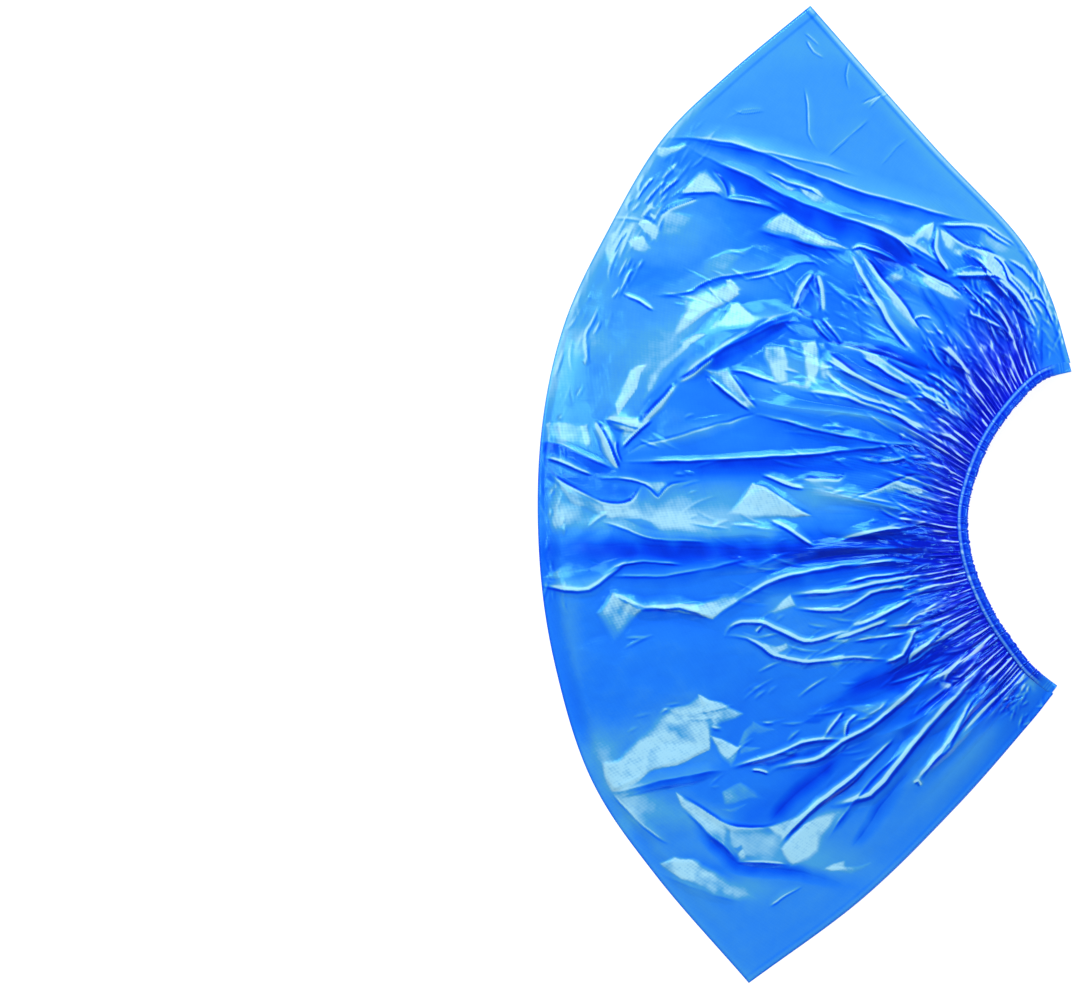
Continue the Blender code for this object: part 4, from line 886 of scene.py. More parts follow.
    "kiteDeep": ([(-45, 105.5), (-39, 106.5), (-39, 105), (-44.5, 104.5)], 0.2, -0.34),
    "leftFleck": ([(-59, 95), (-56.5, 96.5), (-52.5, 95), (-51, 92), (-52.5, 88.5), (-55, 88.5),
        (-57, 91.5)], 0.6, 0.68),
    "leftFleckDark": ([(-57, 98), (-54.5, 98), (-52, 95.5), (-55, 96)], 0.2, -0.44),
    "leftFleckTip": ([(-54.5, 99.5), (-52, 98), (-52.5, 96.5), (-54.5, 98)], 0.2, 0.44),
    "leftFleckTop": ([(-55, 102.5), (-53.5, 103.5), (-52, 101), (-55.5, 100)], 0.2, 0.34),
    # painted sheen on the left
    "leftPaintedSheen": ([(-51, 99), (-44.5, 100), (-40, 98), (-43.5, 90), (-51, 89.5)], 0.3, 0.14),
    "leftGlow": ([(-63.5, 89), (-58.5, 90.5), (-54.5, 86.5), (-58, 84.5), (-62, 85.5)], 0.4, 0.34),
    # painted light on the left
    "leftPaintedLight": ([(-71.5, 87), (-68.5, 92.5), (-64, 96.5), (-58.5, 96.5), (-60, 90),
        (-63.5, 86.5), (-70.5, 81.5)], 0.4, 0.2),
    "endWedge": ([(44.5, 96.5), (41, 95), (37.5, 91.5), (31, 91.5), (34, 88), (37.5, 84.5),
        (38.5, 88), (40.5, 90), (42.5, 88.5), (44, 90.5), (44.5, 94)], 0.8, 0.72),
    "endWedgeDim": ([(38.5, 88), (40.5, 89.5), (42.5, 88), (44.5, 88.5), (44, 84.5), (39, 84)],
        0.2, 0.26),
    # painted shade at the end
    "endPaintedShade": ([(48, 94), (61.5, 94), (61.5, 87), (54.5, 89), (50.5, 91.5)], 0.2, -0.16),
    "endPaleA": ([(47, 93.5), (50.5, 90.5), (54.5, 88), (59, 87), (56.5, 84.5), (54, 82.5),
        (51, 84), (48, 87), (47, 90)], 0.6, 0.78),
    "endPaleB": ([(59.5, 86), (64.5, 84.5), (68, 82), (71.5, 78), (73, 76), (69, 76), (65, 77),
        (62.5, 81), (61.5, 83.5)], 0.6, 0.72),
    "endDark": ([(55, 84), (57.5, 85.5), (59.5, 84.5), (61.5, 79.5), (59, 77), (56, 80)],
        0.2, -0.3),
    "endMid": ([(63, 93.5), (69, 90.5), (73.5, 87), (69.5, 83.5), (65, 85.5), (62.5, 87)],
        0.2, 0.12),
    "cuffFlame": ([(16.5, 1), (26.5, 3), (32, 6), (37, 7.5), (40.5, 8), (44.5, 5), (45.5, 3),
        (41, 1), (39, -1.5), (36, 0.5), (26.5, 0.5)], 0.4, 0.34),
    "cuffFlameSpot": ([(25.5, 12.5), (28.5, 13), (31.5, 13), (30.5, 11), (27, 11)], 0.2, 0.44),
    "cuffSpark": ([(37.5, -14.5), (39, -14.5), (41, -15.5), (38.5, -16)], 0.2, 0.66),
    "cuffSparkLow": ([(40, -20), (41, -19.5), (42, -20.5), (41, -21.5)], 0.2, 0.6),
    "cuffSparkLeft": ([(32.5, -16), (35.5, -16), (37.5, -17), (35, -18.5)], 0.2, 0.4),
    "cuffDeepPane": ([(-2, -19), (12, -17.5), (26.5, -18.5), (35, -19.5), (35, -22), (23, -22),
        (8.5, -23)], 0.2, -0.2),
    "heelFaintPane": ([(5, -133), (23.5, -130), (16, -134)], 0.4, 0.16),
    "rayPane": ([(13.5, -74), (28, -71.5), (21.5, -78)], 0.6, 0.22),
}


creaseLook = {
    "round": 0.25 * mm,  # radius of the top
    "heights": 0.62,  # what the heights in the table are multiplied by
    "profile": 1.15,  # how hollow the flanks are
    # painted highlight line on the lighter side of the top and the painted shade line beside it
    "glint": 0.40 * mm,
    "glintLight": 0.90,
    "swell": 0.32,  # how much wider the lines are on a high crease
    "gain": 1.3,
    # shares of the table's painted light that a lit and a shaded flank get
    "flankLit": 0.40,
    "flankShaded": 0.80,
}


def creaseShape(x, y):
    # Height h(t) * (1 - d / reach(t)) on each side of a path, d away from it and t along it, with
    # painted light and shade on its flanks and a painted highlight line and painted shade line along its
    # top
    look = creaseLook
    rise, light = np.zeros(x.shape), np.zeros(x.shape)
    for path, rises, left, right, lightLeft, lightRight in creaseTable.values():
        curve = through(np.array(path, float) * mm, 2)
        arc = arcOf(curve)
        most = max(max(left), max(right)) * mm
        low, high = curve.min(0) - most, curve.max(0) + most
        near = (x > low[0]) & (x < high[0]) & (y > low[1]) & (y < high[1])
        px, py = x[near], y[near]
        distance = np.full(px.shape, 1e9)
        side, along = np.zeros(px.shape), np.zeros(px.shape)
        for k in range(len(curve) - 1):
            start, way = curve[k], curve[k + 1] - curve[k]
            dx, dy = px - start[0], py - start[1]
            t = np.clip((dx * way[0] + dy * way[1]) / (way @ way), 0, 1)
            d = np.hypot(dx - t * way[0], dy - t * way[1])
            closer = d < distance
            distance = np.where(closer, d, distance)
            side = np.where(closer, way[0] * dy - way[1] * dx, side)
            along = np.where(closer, (arc[k] + t * (arc[k + 1] - arc[k])) / arc[-1], along)
        height, leftReach, rightReach = (
            np.interp(along, [0, 0.5, 1], values) * mm for values in (rises, left, right)
        )
        core = np.hypot(distance, look["round"]) - look["round"]
        share = np.clip(1 - core / np.where(side > 0, leftReach, rightReach), 0, 1)
        ends = smooth(np.minimum(along, 1 - along), -0.03, 0.22)
        rise[near] += height * look["heights"] * share ** look["profile"] * ends
        width = look["glint"] * (0.80 + look["swell"] * max(rises))
        signed = np.where(side > 0, distance, -distance)
        onLeft = 0.5 + 0.5 * np.tanh(signed / (0.5 * width))
        glowLeft, glowRight = (
            a * (look["flankLit"] if a > 0 else look["flankShaded"]) for a in (lightLeft, lightRight)
        )
        # painted light on each flank, then the painted highlight line and the painted shade line beside
        # the top
        glow = (glowLeft * onLeft + glowRight * (1 - onLeft)) * share**1.2
        if lightLeft < lightRight:
            signed = -signed
        thin = bell(signed, 0.3 * width, width)
        dark = bell(signed, -1.4 * width, 0.85 * width)
        strength = look["gain"] * max(lightLeft, lightRight, 0) + 0.03
        light[near] += (glow + look["glintLight"] * strength * (1.2 * thin - 1.4 * dark)) * ends
    return rise, light


paneLook = {
    "lift": 0.5,  # what the lifts in the table are multiplied by
    "fade": 0.55,  # share of its lightness that a pane keeps far from its first edge
    "edge": 0.5 * mm,
    "softEdge": 4.5 * mm,  # the most that the far edges fade over
    "softShare": 0.30,  # the same as a share of the pane's own width
}


def paneShape(x, y):
    # Height lift * (1 - d / span), d from the first edge, inside the outline only, and the pane's
    # painted light and shade, fading away from the first edge
    look = paneLook
    rise, light = np.zeros(x.shape), np.zeros(x.shape)
    for corners, lift, glow in paneTable.values():
        p = np.array(corners, float) * mm
        low, high = p.min(0) - 1 * mm, p.max(0) + 1 * mm
        near = (x > low[0]) & (x < high[0]) & (y > low[1]) & (y < high[1])
        px, py = x[near], y[near]
        edge = np.full(px.shape, 1e9)
        inside = np.zeros(px.shape, bool)
        for k in range(len(p)):
            start, way = p[k], p[(k + 1) % len(p)] - p[k]
            dx, dy = px - start[0], py - start[1]
            t = np.clip((dx * way[0] + dy * way[1]) / (way @ way), 0, 1)
            d = np.hypot(dx - t * way[0], dy - t * way[1])
            edge = np.minimum(edge, d)
            crossing = ((dy >= 0) != (dy - way[1] >= 0)) & (dx < way[0] * dy / (way[1] + 1e-12))
            inside ^= crossing
            if k == 0:
                crest = d
        signed = np.where(inside, edge, -edge)
        firstWay = p[1] - p[0]
        across = np.abs((p - p[0]) @ np.array([-firstWay[1], firstWay[0]])) / np.hypot(*firstWay)
        slope = np.clip(1 - crest / across.max(), 0, 1)
        # a pane's own width: its area over its span
        nextX, nextY = np.roll(p, -1, axis=0).T
        area = abs((p[:, 0] * nextY - nextX * p[:, 1]).sum()) / 2
        width = 1.6 * area / np.hypot(*(p[:, None] - p[None]).T).max()
        rise[near] += look["lift"] * lift * mm * slope * smooth(signed, -look["edge"], 1.2 * mm)
        fade = look["fade"] + (1 - look["fade"]) * slope
        soft = look["edge"] + np.minimum(look["softEdge"], look["softShare"] * width) * (1 - slope)
        light[near] += glow * fade * smooth(signed, -look["edge"], soft)
    return rise, light


# Broad soft areas of painted light and shade: middle in millimetres, half axes, turn in degrees, how
# much lighter (below zero, darker)
softAreas = {
    "upperLeft": ((-52, 80), (17, 40), -28, 0.12),
    "leftShoulder": ((-70, 58), (16, 30), -20, -0.02),
    "toeLight": ((18, 122), (34, 22), -35, 0.03),
    "underBand": ((-14, 105), (34, 4), -24, -0.14),
    "aboveDiagonal": ((-42, 58), (26, 10), 35, 0.12),
    "leftLow": ((-70, 34), (12, 10), 0, 0.05),
    "slowSlope": ((-20, 24), (40, 6), 0, 0.05),
    "middleLeft": ((-80, -2), (12, 10), 0, 0.12),
    "middlePatch": ((-38, -5), (36, 8), 0, 0.13),
    "valleyDeep": ((-20, -20.5), (86, 3.6), 0, -0.22),
    "underLevel": ((-20, 8.5), (66, 2.6), 2, -0.12),
    "heelDeep": ((4, -106), (36, 8), 42, -0.06),
    "innerDeep": ((22, 70), (26, 12), -50, -0.10),
    "innerDeepTwo": ((40, 52), (26, 12), -40, -0.08),
    "fanLight": ((16, 34), (26, 7), -22, 0.06),
    "fanLightLow": ((8, -42), (30, 8), 8, 0.05),
    "tabLight": ((66, 82), (14, 16), -35, 0.10),
    "heelCornerLight": ((70, -78), (16, 10), 45, -0.02),
    "middleWide": ((-52, -12), (42, 5.5), -4, 0.21),
    "pocket": ((-69, 3), (9, 3), -20, -0.10),
    "arrowWide": ((-46, 52), (34, 8), 38, 0.16),
    "starLight": ((-8, 41), (15, 7), 10, 0.12),
    "starRight": ((28, 62), (11, 8), -30, 0.22),
    "shoulderGap": ((-30, 78), (16, 6), 14, 0.10),
    "heelWide": ((-56, -94), (24, 7), 32, 0.10),
    "heelLow": ((-28, -117), (40, 6), -16, 0.22),
    "heelLower": ((-20, -128), (34, 7), -8, 0.10),
    "lowDeep": ((34, -61), (30, 4.5), 26, -0.22),
    "fanDeep": ((26, -18), (18, 6), 0, -0.16),
    "kneeDeep": ((66, 74), (15, 6), -48, -0.34),
    "endDeep": ((70, 58), (14, 7), -48, -0.26),
    "cuffEndDeep": ((82, 48), (9, 9), -30, -0.14),
    "heelEndDeep": ((68, -68), (10, 12), 0, -0.10),
    "toeEdgeDeep": ((-38, 132), (14, 5), 42, -0.06),
    "toeLeftLight": ((-30, 144), (14, 5), 42, 0.08),
    "leftCorner": ((-84, 20), (8, 7), 0, 0.08),
    "leftRimLow": ((-86, -48), (6, 26), 8, 0.10),
    "heelRim": ((-66, -102), (18, 7), -52, 0.24),
    "heelRimLow": ((-48, -134), (20, 6), -46, 0.12),
    "lowLight": ((-10, -52), (14, 9), 0, 0.10),
    "bandDim": ((-30, -8), (28, 7), 0, 0.16),
    "stillDim": ((8, 20), (26, 6), -10, -0.18),
    "ridgeDim": ((-10, 88), (12, 5), -20, -0.10),
    "starDim": ((-34, 55), (9, 5), 30, -0.14),
    "rightStar": ((38, 48), (16, 6), -34, 0.14),
    "upperFan": ((40, 64), (8, 10), 0, 0.10),
    "fanTopDim": ((40, 76), (18, 4), -36, -0.14),
    "heelRay": ((62, -92), (10, 6), 40, 0.02),
    "bandUnder": ((-66, -26), (30, 3), 0, -0.10),
    "veeHollow": ((28, 84), (8, 4), -30, -0.30),
    "underVee": ((38, 47), (19, 3.5), -14, -0.26),
    "leftHollow": ((-54, 77), (16, 6), 0, -0.14),
    "levelHollow": ((-10, 9), (50, 2.2), 1, -0.12),
    "rimShade": ((-48, 118), (6, 17), -32, -0.16),
    "rimShadeLow": ((-78, 48), (6, 20), -12, -0.02),
    "toeRightLight": ((22, 150), (4, 20), 44, 0.07),
    "bandGlow": ((-24, 1), (30, 4.5), -4, 0.10),
    "bandGlowRight": ((8, -2), (14, 5), -6, 0.12),
    "fanRightDeep": ((36, -34), (13, 22), 20, -0.10),
    "fanLowDeep": ((66, -71), (10, 8), -30, -0.18),
    "heelLeftGlow": ((-38, -94), (12, 6), 30, 0.12),
    "heelMidDim": ((-20, -116), (8, 5), 0, -0.16),
    "heelShardGlow": ((4, -114), (9, 6), 30, 0.14),
    "midFlatLight": ((-46, 92), (14, 12), 0, 0.05),
    "midRightDeep": ((38, -14), (9, 6), 0, -0.14),
    "cuffMidGlow": ((58, -14), (6, 5), 0, 0.14),
    "ridgeShadow": ((2, 88), (6, 5), -20, -0.16),
    "paneGap": ((4, 54), (7, 6), 0, -0.12),
    "veeGlow": ((24, 66), (6, 6), 0, 0.14),
    "arrowGap": ((-28, 65), (9, 4), 20, -0.12),
    "heelPaneTop": ((-56, -82), (24, 5), 30, 0.12),
    "ridgeGap": ((40, -82), (9, 6), 0, -0.12),
    "heelTailGlow": ((-20, -139), (8, 5), -10, 0.12),
    "leftRimUp": ((-88, 38), (5, 14), -10, 0.16),
    "leftGlowUp": ((-72, 54), (10, 6), 0, 0.12),
    "leftGlowLow": ((-58, 28), (10, 7), 0, 0.08),
    "soleRimLow": ((-75, -88), (6, 10), -20, 0.10),
    "soleRimHeel": ((-64, -116), (5, 6), -40, 0.14),
    "loopDim": ((18, -37), (9, 5), 0, -0.10),
    "toeTipGlow": ((2, 158), (22, 6), 0, 0.05),
    "underFlame": ((24, -14), (8, 4), 0, -0.16),
    "underFlameLeft": ((-4, -14), (8, 4), 0, -0.10),
    "wedgeGlow": ((-10, -37), (6, 4), 0, 0.14),
    "bowlGlow": ((-34, -116), (5, 4), 0, 0.10),
    "paneGlow": ((-10, 44), (7, 5), 0, 0.14),
    "veeSideGlow": ((13, 78), (5, 5), 0, 0.10),
    "bandGlowFar": ((20, 88), (6, 4), 0, 0.10),
    "kneeShade": ((50, 76), (8, 4), -30, -0.10),
    "heelTabShade": ((70, -71), (6, 6), 0, -0.10),
    "leftDip": ((-80, -1), (9, 4), 0, -0.10),
    "toeHollow": ((28, 88), (26, 4), -32, -0.12),
    "starHollow": ((-14, 50), (24, 5), 34, -0.10),
    "ridgeHollow": ((10, -92), (40, 4), 36, -0.12),
    "heelHollow": ((-16, -134), (30, 3), -8, -0.08),
}


def softLight(x, y):
    # Sum of painted light * exp(-r^2) over the soft areas, r measured in their own half axes; below zero
    # it is painted shade
    light = np.zeros(x.shape)
    for (cx, cy), (a, b), turn, amount in softAreas.values():
        c, q = np.cos(np.radians(turn)), np.sin(np.radians(turn))
        dx, dy = x - cx * mm, y - cy * mm
        light += amount * bell(dx * c + dy * q, 0, a * mm) * bell(dy * c - dx * q, 0, b * mm)
    return light


# Small creases strewn by zone: how many, which shares of the columns and rows, how far they
# turn from the pull of the cuff, how strong their painted light and shade is and how large they are,
# whether they cluster, and whether they run across the pull instead of along it
smallZones = {
    "body": (560, (0.12, 0.88), (0.03, 0.96), 1.2, 1.0, 1.0, True, False),
    "toeEnd": (60, (0.000, 0.075), (0.80, 0.985), 0.9, 0.9, 0.6, False, False),
    "toeEndOut": (60, (0.03, 0.14), (0.66, 0.92), 1.0, 1.0, 0.7, False, False),
    "toeTab": (36, (0.000, 0.028), (0.72, 0.99), 1.3, 0.9, 0.45, False, False),
    "heelTab": (18, (0.972, 1.000), (0.90, 0.99), 1.6, 1.0, 0.40, False, False),
    "heelEnd": (30, (0.955, 0.985), (0.90, 0.985), 1.0, 0.9, 0.6, False, False),
    "cuffBand": (230, (0.09, 0.93), (0.80, 0.975), 0.5, 2.2, 0.6, False, False),
    "cuffBandToe": (90, (0.08, 0.40), (0.74, 0.95), 0.7, 2.0, 0.7, False, False),
    "cuffBroad": (60, (0.10, 0.92), (0.76, 0.95), 0.35, 2.4, 1.5, False, False),
    "rimStreaks": (80, (0.14, 0.42), (0.005, 0.10), 0.3, 0.9, 0.9, False, True),
    "rimStreaksLow": (40, (0.42, 0.62), (0.005, 0.06), 0.5, 0.8, 0.7, False, True),
    "toeFaint": (70, (0.02, 0.15), (0.05, 0.80), 3.0, 0.35, 0.9, False, False),
}
smallCreases = {
    "seed": 77,
    # smallest and largest, the first three in millimetres
    "length": (4, 17),
    "reach": (0.7, 1.9),
    "rise": (0.06, 0.30),
    "light": (0.06, 0.34),
    # widths of the painted highlight line and the painted shade line, and where the shade line lies
    "bright": 0.42 * mm,
    "dark": 0.48 * mm,
    "darkAt": -0.80 * mm,
    "clump": 26 * mm,
}


def smallCreaseShape(grid):
    # Short, nearly straight creases strewn over the film, mostly along the pull to the cuff, each with a
    # painted highlight line, a painted shade line beside it and painted light on one flank
    look = smallCreases
    rng = np.random.default_rng(look["seed"])
    x, y = grid["x"], grid["y"]
    rise, light = np.zeros(x.shape), np.zeros(x.shape)
    shape = np.array(x.shape)
    for zone in smallZones.values():
        count, columnShare, rowShare, spread, strength, size, clustered, crosswise = zone
        for _ in range(count):
            a, b, turn, length, reach, lift, glow, lean = rng.random(8)
            b = b**0.55 if clustered else b
            column = int((columnShare[0] + a * (columnShare[1] - columnShare[0])) * (shape[0] - 1))
            row = int((rowShare[0] + b * (rowShare[1] - rowShare[0])) * (shape[1] - 2))
            place = np.array([x[column, row], y[column, row]])
            way = np.array([x[column, row + 1], y[column, row + 1]]) - place
            astray = (turn - 0.5) * (spread + 0.3 - 0.9 * b * clustered)
            angle = np.arctan2(way[1], way[0]) + crosswise * np.pi / 2 + astray
            length = (look["length"][0] + length**1.6 * np.diff(look["length"])[0]) * mm * size
            reach = (look["reach"][0] + reach * np.diff(look["reach"])[0]) * mm * size**0.7
            lift = (look["rise"][0] + lift * np.diff(look["rise"])[0]) * mm * (1 if lean > 0.3 else -0.7)
            glow = (look["light"][0] + glow**2 * np.diff(look["light"])[0]) * strength
            noise = swirl(place[:1], place[1:], look["clump"], 48)[0]
            if clustered and noise + 0.5 * (b - 0.35) + 0.25 * (turn - 0.5) < -0.02:
                continue
            near = (np.abs(x - place[0]) < length) & (np.abs(y - place[1]) < length)
            dx, dy = x[near] - place[0], y[near] - place[1]
            along = (dx * np.cos(angle) + dy * np.sin(angle)) / (length / 2)
            across = dy * np.cos(angle) - dx * np.sin(angle) + (turn - 0.5) * 0.15 * length * along**2
            ends = np.clip(1 - np.abs(along), 0, 1) ** 0.7
            flank = np.where(across > 0, reach, reach * (0.4 + lean))
            share = np.clip(1 - np.abs(across) / np.maximum(flank * ends, 0.05 * mm), 0, 1)
            rise[near] += lift * share * ends
            # painted highlight line, painted shade line beside it, painted light on one flank
            lines = bell(across, 0, look["bright"]) - 0.85 * bell(across, look["darkAt"], look["dark"])
            light[near] += glow * ends * (lines + 0.35 * share * (across > 0))
    return rise, light


gathers = {
    # count round the cuff, where they fade in and out by distance from it, rise over spacing, and the
    # painted highlight of their strokes
    "fine": {"count": 82, "full": 1.5 * mm, "gone": 17 * mm, "steep": 0.50, "seed": 11, "light": 0.88},
    "middle": {"count": 47, "full": 7 * mm, "gone": 40 * mm, "steep": 0.30, "seed": 12, "light": 0.95},
    "broad": {"count": 15, "full": 26 * mm, "gone": 98 * mm, "steep": 0.11, "seed": 13, "light": 0.12},
}


def gatherRise(grid):
    # Triangle waves round the cuff; each pleat has its own height, length, lean and start; painted
    # highlight strokes along the pleats and painted shade in the troughs by the cuff
    tab = grid["tabShare"]
    s = np.clip((grid["s"] - tab) / (1 - 2 * tab), 0, 1)
    fromCuff = (1 - grid["v"]) * coverPlan["webDepth"]
    spacing = np.hypot(np.gradient(grid["x"], axis=0), np.gradient(grid["y"], axis=0))
    ds = np.maximum(np.gradient(s, axis=0), 1e-6)
    rise, light = np.zeros(s.shape), np.zeros(s.shape)
    for g in gathers.values():
        wander = swirl(s * 1.0, grid["v"] * 0.14, 0.045, g["seed"]) * 0.7
        phase = s * g["count"] + wander
        pleat = np.floor(phase).astype(int)
        rng = np.random.default_rng(g["seed"])
        height, length, lean, glint, begin = (
            rng.uniform(low, high, g["count"] + 4)[pleat + 1]
            for low, high in ((0.4, 1.3), (0.35, 1.15), (0.30, 0.70), (0.0, 1.0), (0.0, 1.0))
        )
        part = phase - pleat
        wave = np.where(part < lean, part / lean, (1 - part) / (1 - lean))
        wavelength = spacing / ds / g["count"]
        gone = np.maximum(g["gone"] * length, g["full"] * 1.3)
        near = 1 - smooth(fromCuff, 0.45 * gone, gone)
        far = smooth(fromCuff, 0.1 * g["full"], g["full"] * (0.5 + begin))
        amount = near * (0.45 + 0.55 * far)
        # the troughs lie on one smooth level, so that neighbouring pleats meet without a step
        level = 1 - smooth(fromCuff, 0.3 * g["gone"], 0.95 * g["gone"])
        rise += wavelength * g["steep"] * (wave * height * amount - 0.4 * level)
        stroke = np.clip((wave - 0.55) / 0.3, 0, 1) * np.where(part < lean, 1.0, 0.55)
        # the painted highlight strokes along the pleats are broken into short lengths
        patches = facets(pleat * 9.7 * mm, fromCuff, 3.1 * mm, g["seed"] + 5)
        broken = np.clip(0.80 + 0.55 * patches, 0.2, 1.3)
        light += g["light"] * broken * amount * stroke * (0.30 + 1.1 * glint**1.5) * (0.5 + 0.5 * far)
        # painted shade in the pleats' troughs near the cuff
        light -= g["light"] * 0.34 * level * (1 - wave) ** 1.5
    ends = smooth(s, 0, 0.03) * smooth(1 - s, 0, 0.03)
    return rise * ends, light * ends


# Heights of the two sides of film
loftShape = {
    "loft": 15 * mm,
    # how much of the loft there is from toe to heel, and from the sole fold to the cuff
    "fullness": (
        (0, 0), (0.12, 0.22), (0.25, 0.55), (0.38, 0.92), (0.52, 1), (0.68, 0.92),
        (0.82, 0.60), (0.92, 0.30), (1, 0),
    ),
    "rise": (
        (0, 0), (0.08, 0.30), (0.17, 0.55), (0.28, 0.77), (0.39, 0.93), (0.50, 1),
        (0.61, 0.97), (0.71, 0.84), (0.80, 0.62), (0.88, 0.36), (0.95, 0.12), (1, 0),
    ),
    "floorGap": 0.2 * mm,
    "edge": 1.0 * mm,
    "weldHeight": 0.7 * mm,
}
hemNode = {name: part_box(name + "_hem") for name in ("upper", "lower")}
hemHalf = (hemNode["lower"][1].z - hemNode["lower"][0].z) / 2
mouthTop = hemNode["upper"][1].z - hemHalf
print("hem half", round(hemHalf / mm, 2), "mouth top", round(mouthTop / mm, 2))


def softCurve(pairs, x):
    # The table's values joined by straight runs, then rounded a little by blurring
    fine = np.linspace(0, 1, 401)
    values = np.interp(fine, *np.array(pairs).T)
    kernel = np.hanning(41)
    kernel /= kernel.sum()
    values = np.convolve(np.pad(values, 20, mode="edge"), kernel, "valid")
    return np.interp(x, fine, values)


def mouthHeights(s, tabShare):
    # Middles of the lower and upper hem: flat at the tabs, an arch between them
    weld = loftShape["weldHeight"]
    low = weld + (hemHalf - weld) * smooth(np.minimum(s, 1 - s), 0, tabShare)
    inner = np.clip((s - tabShare) / (1 - 2 * tabShare), 0, 1)
    apart = 2 * hemHalf + 0.3 * mm
    arch = mouthTop - hemHalf - apart
    high = low + apart * smooth(np.minimum(s, 1 - s), 0, tabShare * 1.2)
    return low, high + arch * np.sin(np.pi * inner) ** 0.8


crumple = {
    # flat facets of film: height in millimetres, size
    "wide": (0.50, 38 * mm),
    "middle": (0.34, 15 * mm),
    "small": (0.10, 5.5 * mm),
    "smallest": (0.05, 2.6 * mm),
    # how far the tables are read from their place, in millimetres, over facets of this size
    "shift": ((0.90, 11 * mm), (0.55, 4.5 * mm)),
    "lightLimit": 0.62,
    "valley": (-19 * mm, 7 * mm),  # middle and half width of the valley that is pulled straight
}


def shifted(x, y, seed):
    # Two sizes of facets added up, in millimetres
    (first, firstSize), (second, secondSize) = crumple["shift"]
    return first * facets(x, y, firstSize, seed) + second * facets(x, y, secondSize, seed + 1)


def turnedFacets(x, y, name, c, q, seed):
    # One size of facets, turned by the angle whose cosine and sine are c and q
    height, size = crumple[name]
    return height * facets(x * c + y * q, y * c - x * q, size, seed)


def upperHeights(grid):
    # The upper side: welded edge, slack film in the middle, mouth, and all creases on top, with their
    # painted light and shade
    u, v = grid["u"], grid["v"]
    high = mouthHeights(grid["s"], grid["tabShare"])[1]
    toHem = smooth(v, 0.30, 1)
    slack = softCurve(loftShape["fullness"], u) * softCurve(loftShape["rise"], v) * smooth(v, 0, 0.05)
    z = loftShape["weldHeight"] * (1 - toHem) + high * toHem + loftShape["loft"] * slack
    inside = smooth(np.minimum(u, 1 - u), 0.002, 0.03) * smooth(v, 0.0, 0.04) * (1 - smooth(v, 0.95, 1))
    x, y = grid["x"], grid["y"]
    body = smooth(u, 0.12, 0.20) * (1 - 0.80 * smooth(u, 0.80, 0.93))
    # film never creases quite straight: the tables are read at slightly shifted places
    shiftX, shiftY = shifted(x, y, 41), shifted(x, y, 43)
    warpX, warpY = x + shiftX * mm, y + shiftY * mm
    creaseRise, creaseLight = creaseShape(x + 0.4 * shiftX * mm, y + 0.4 * shiftY * mm)
    paneRise, paneLight = paneShape(warpX, warpY)
    uneven = 1.05 + 0.5 * swirl(x, y, 9 * mm, 45) + 0.45 * facets(warpX, warpY, 4.5 * mm, 49)
    creaseLight = creaseLight * np.clip(uneven, 0.15, 2)
    # panes are crinkled themselves, so their painted light is broken up
    broken = 0.80 + 0.30 * facets(warpX, warpY, 5.5 * mm, 46) + 0.30 * facets(warpX, warpY, 2.6 * mm, 47)
    paneLight = paneLight * broken
    smallRise, smallLight = smallCreaseShape(grid)
    ends = 1 - smooth(u, 0.10, 0.16) + smooth(u, 0.93, 0.95)
    strewn = np.maximum(body, 1.25 * ends * smooth(v, 0.6, 0.75))
    # painted light and shade of creases, panes and small creases, capped, plus that of the soft areas
    limit, soft = crumple["lightLimit"], softLight(x, y)
    grid["light"] = limit * np.tanh((creaseLight + paneLight + smallLight * strewn) / limit) + soft
    # mask of the painted highlights, where the emboss's painted sparkle shows in the colour
    wide = soft * smooth(-x, 20 * mm, 50 * mm)
    grid["patch"] = np.clip(paneLight / 0.45 + np.maximum(wide, 0), 0, 1)
    # crumple: flat facets of several sizes, two of them drawn out along the pull to the cuff
    small = 0.60 * facets(u * 400 + v * 30, v * 70, 26, 3)
    small += turnedFacets(warpX, warpY, "wide", 1, 0, 4) * body
    small += turnedFacets(warpX, warpY, "middle", 0.8, 0.6, 5)
    small += 0.20 * facets(u * 400 - v * 20, v * 100, 11, 6) * (0.3 + body)
    small += turnedFacets(warpX, warpY, "small", 0.6, -0.8, 7)
    small += turnedFacets(warpX, warpY, "smallest", 0.2, -0.98, 8)
    small *= 0.22 + 0.78 * body
    # the long valley across the middle is pulled straight
    small *= 1 - 0.75 * bell(y, *crumple["valley"])
    z = z + (creaseRise + paneRise + smallRise * strewn + small * mm) * inside
    pleats, grid["pleatLight"] = gatherRise(grid)
    z = z + pleats * (1 - 0.6 * smooth(v, 0.97, 1))
    below = lowerHeights(grid)
    z = np.maximum(z, loftShape["floorGap"] * 2 + below)
    # round the outline the upper film comes down to meet the lower one
    fromEdge = np.minimum(np.minimum(u, 1 - u) * grid["webLength"], v * coverPlan["webDepth"])
    return below + (z - below) * np.sqrt(np.clip(fromEdge / loftShape["edge"], 0, 1))


def lowerHeights(grid):
    # Flat just above the floor, rising to the hem, with a quarter of the gathers' height
    floorGap = loftShape["floorGap"]
    low = mouthHeights(grid["s"], grid["tabShare"])[0]
    ripple = gatherRise(grid)[0] * 0.25
    return floorGap + (low - floorGap) * smooth(grid["v"], 0.88, 1) + np.maximum(ripple, 0)


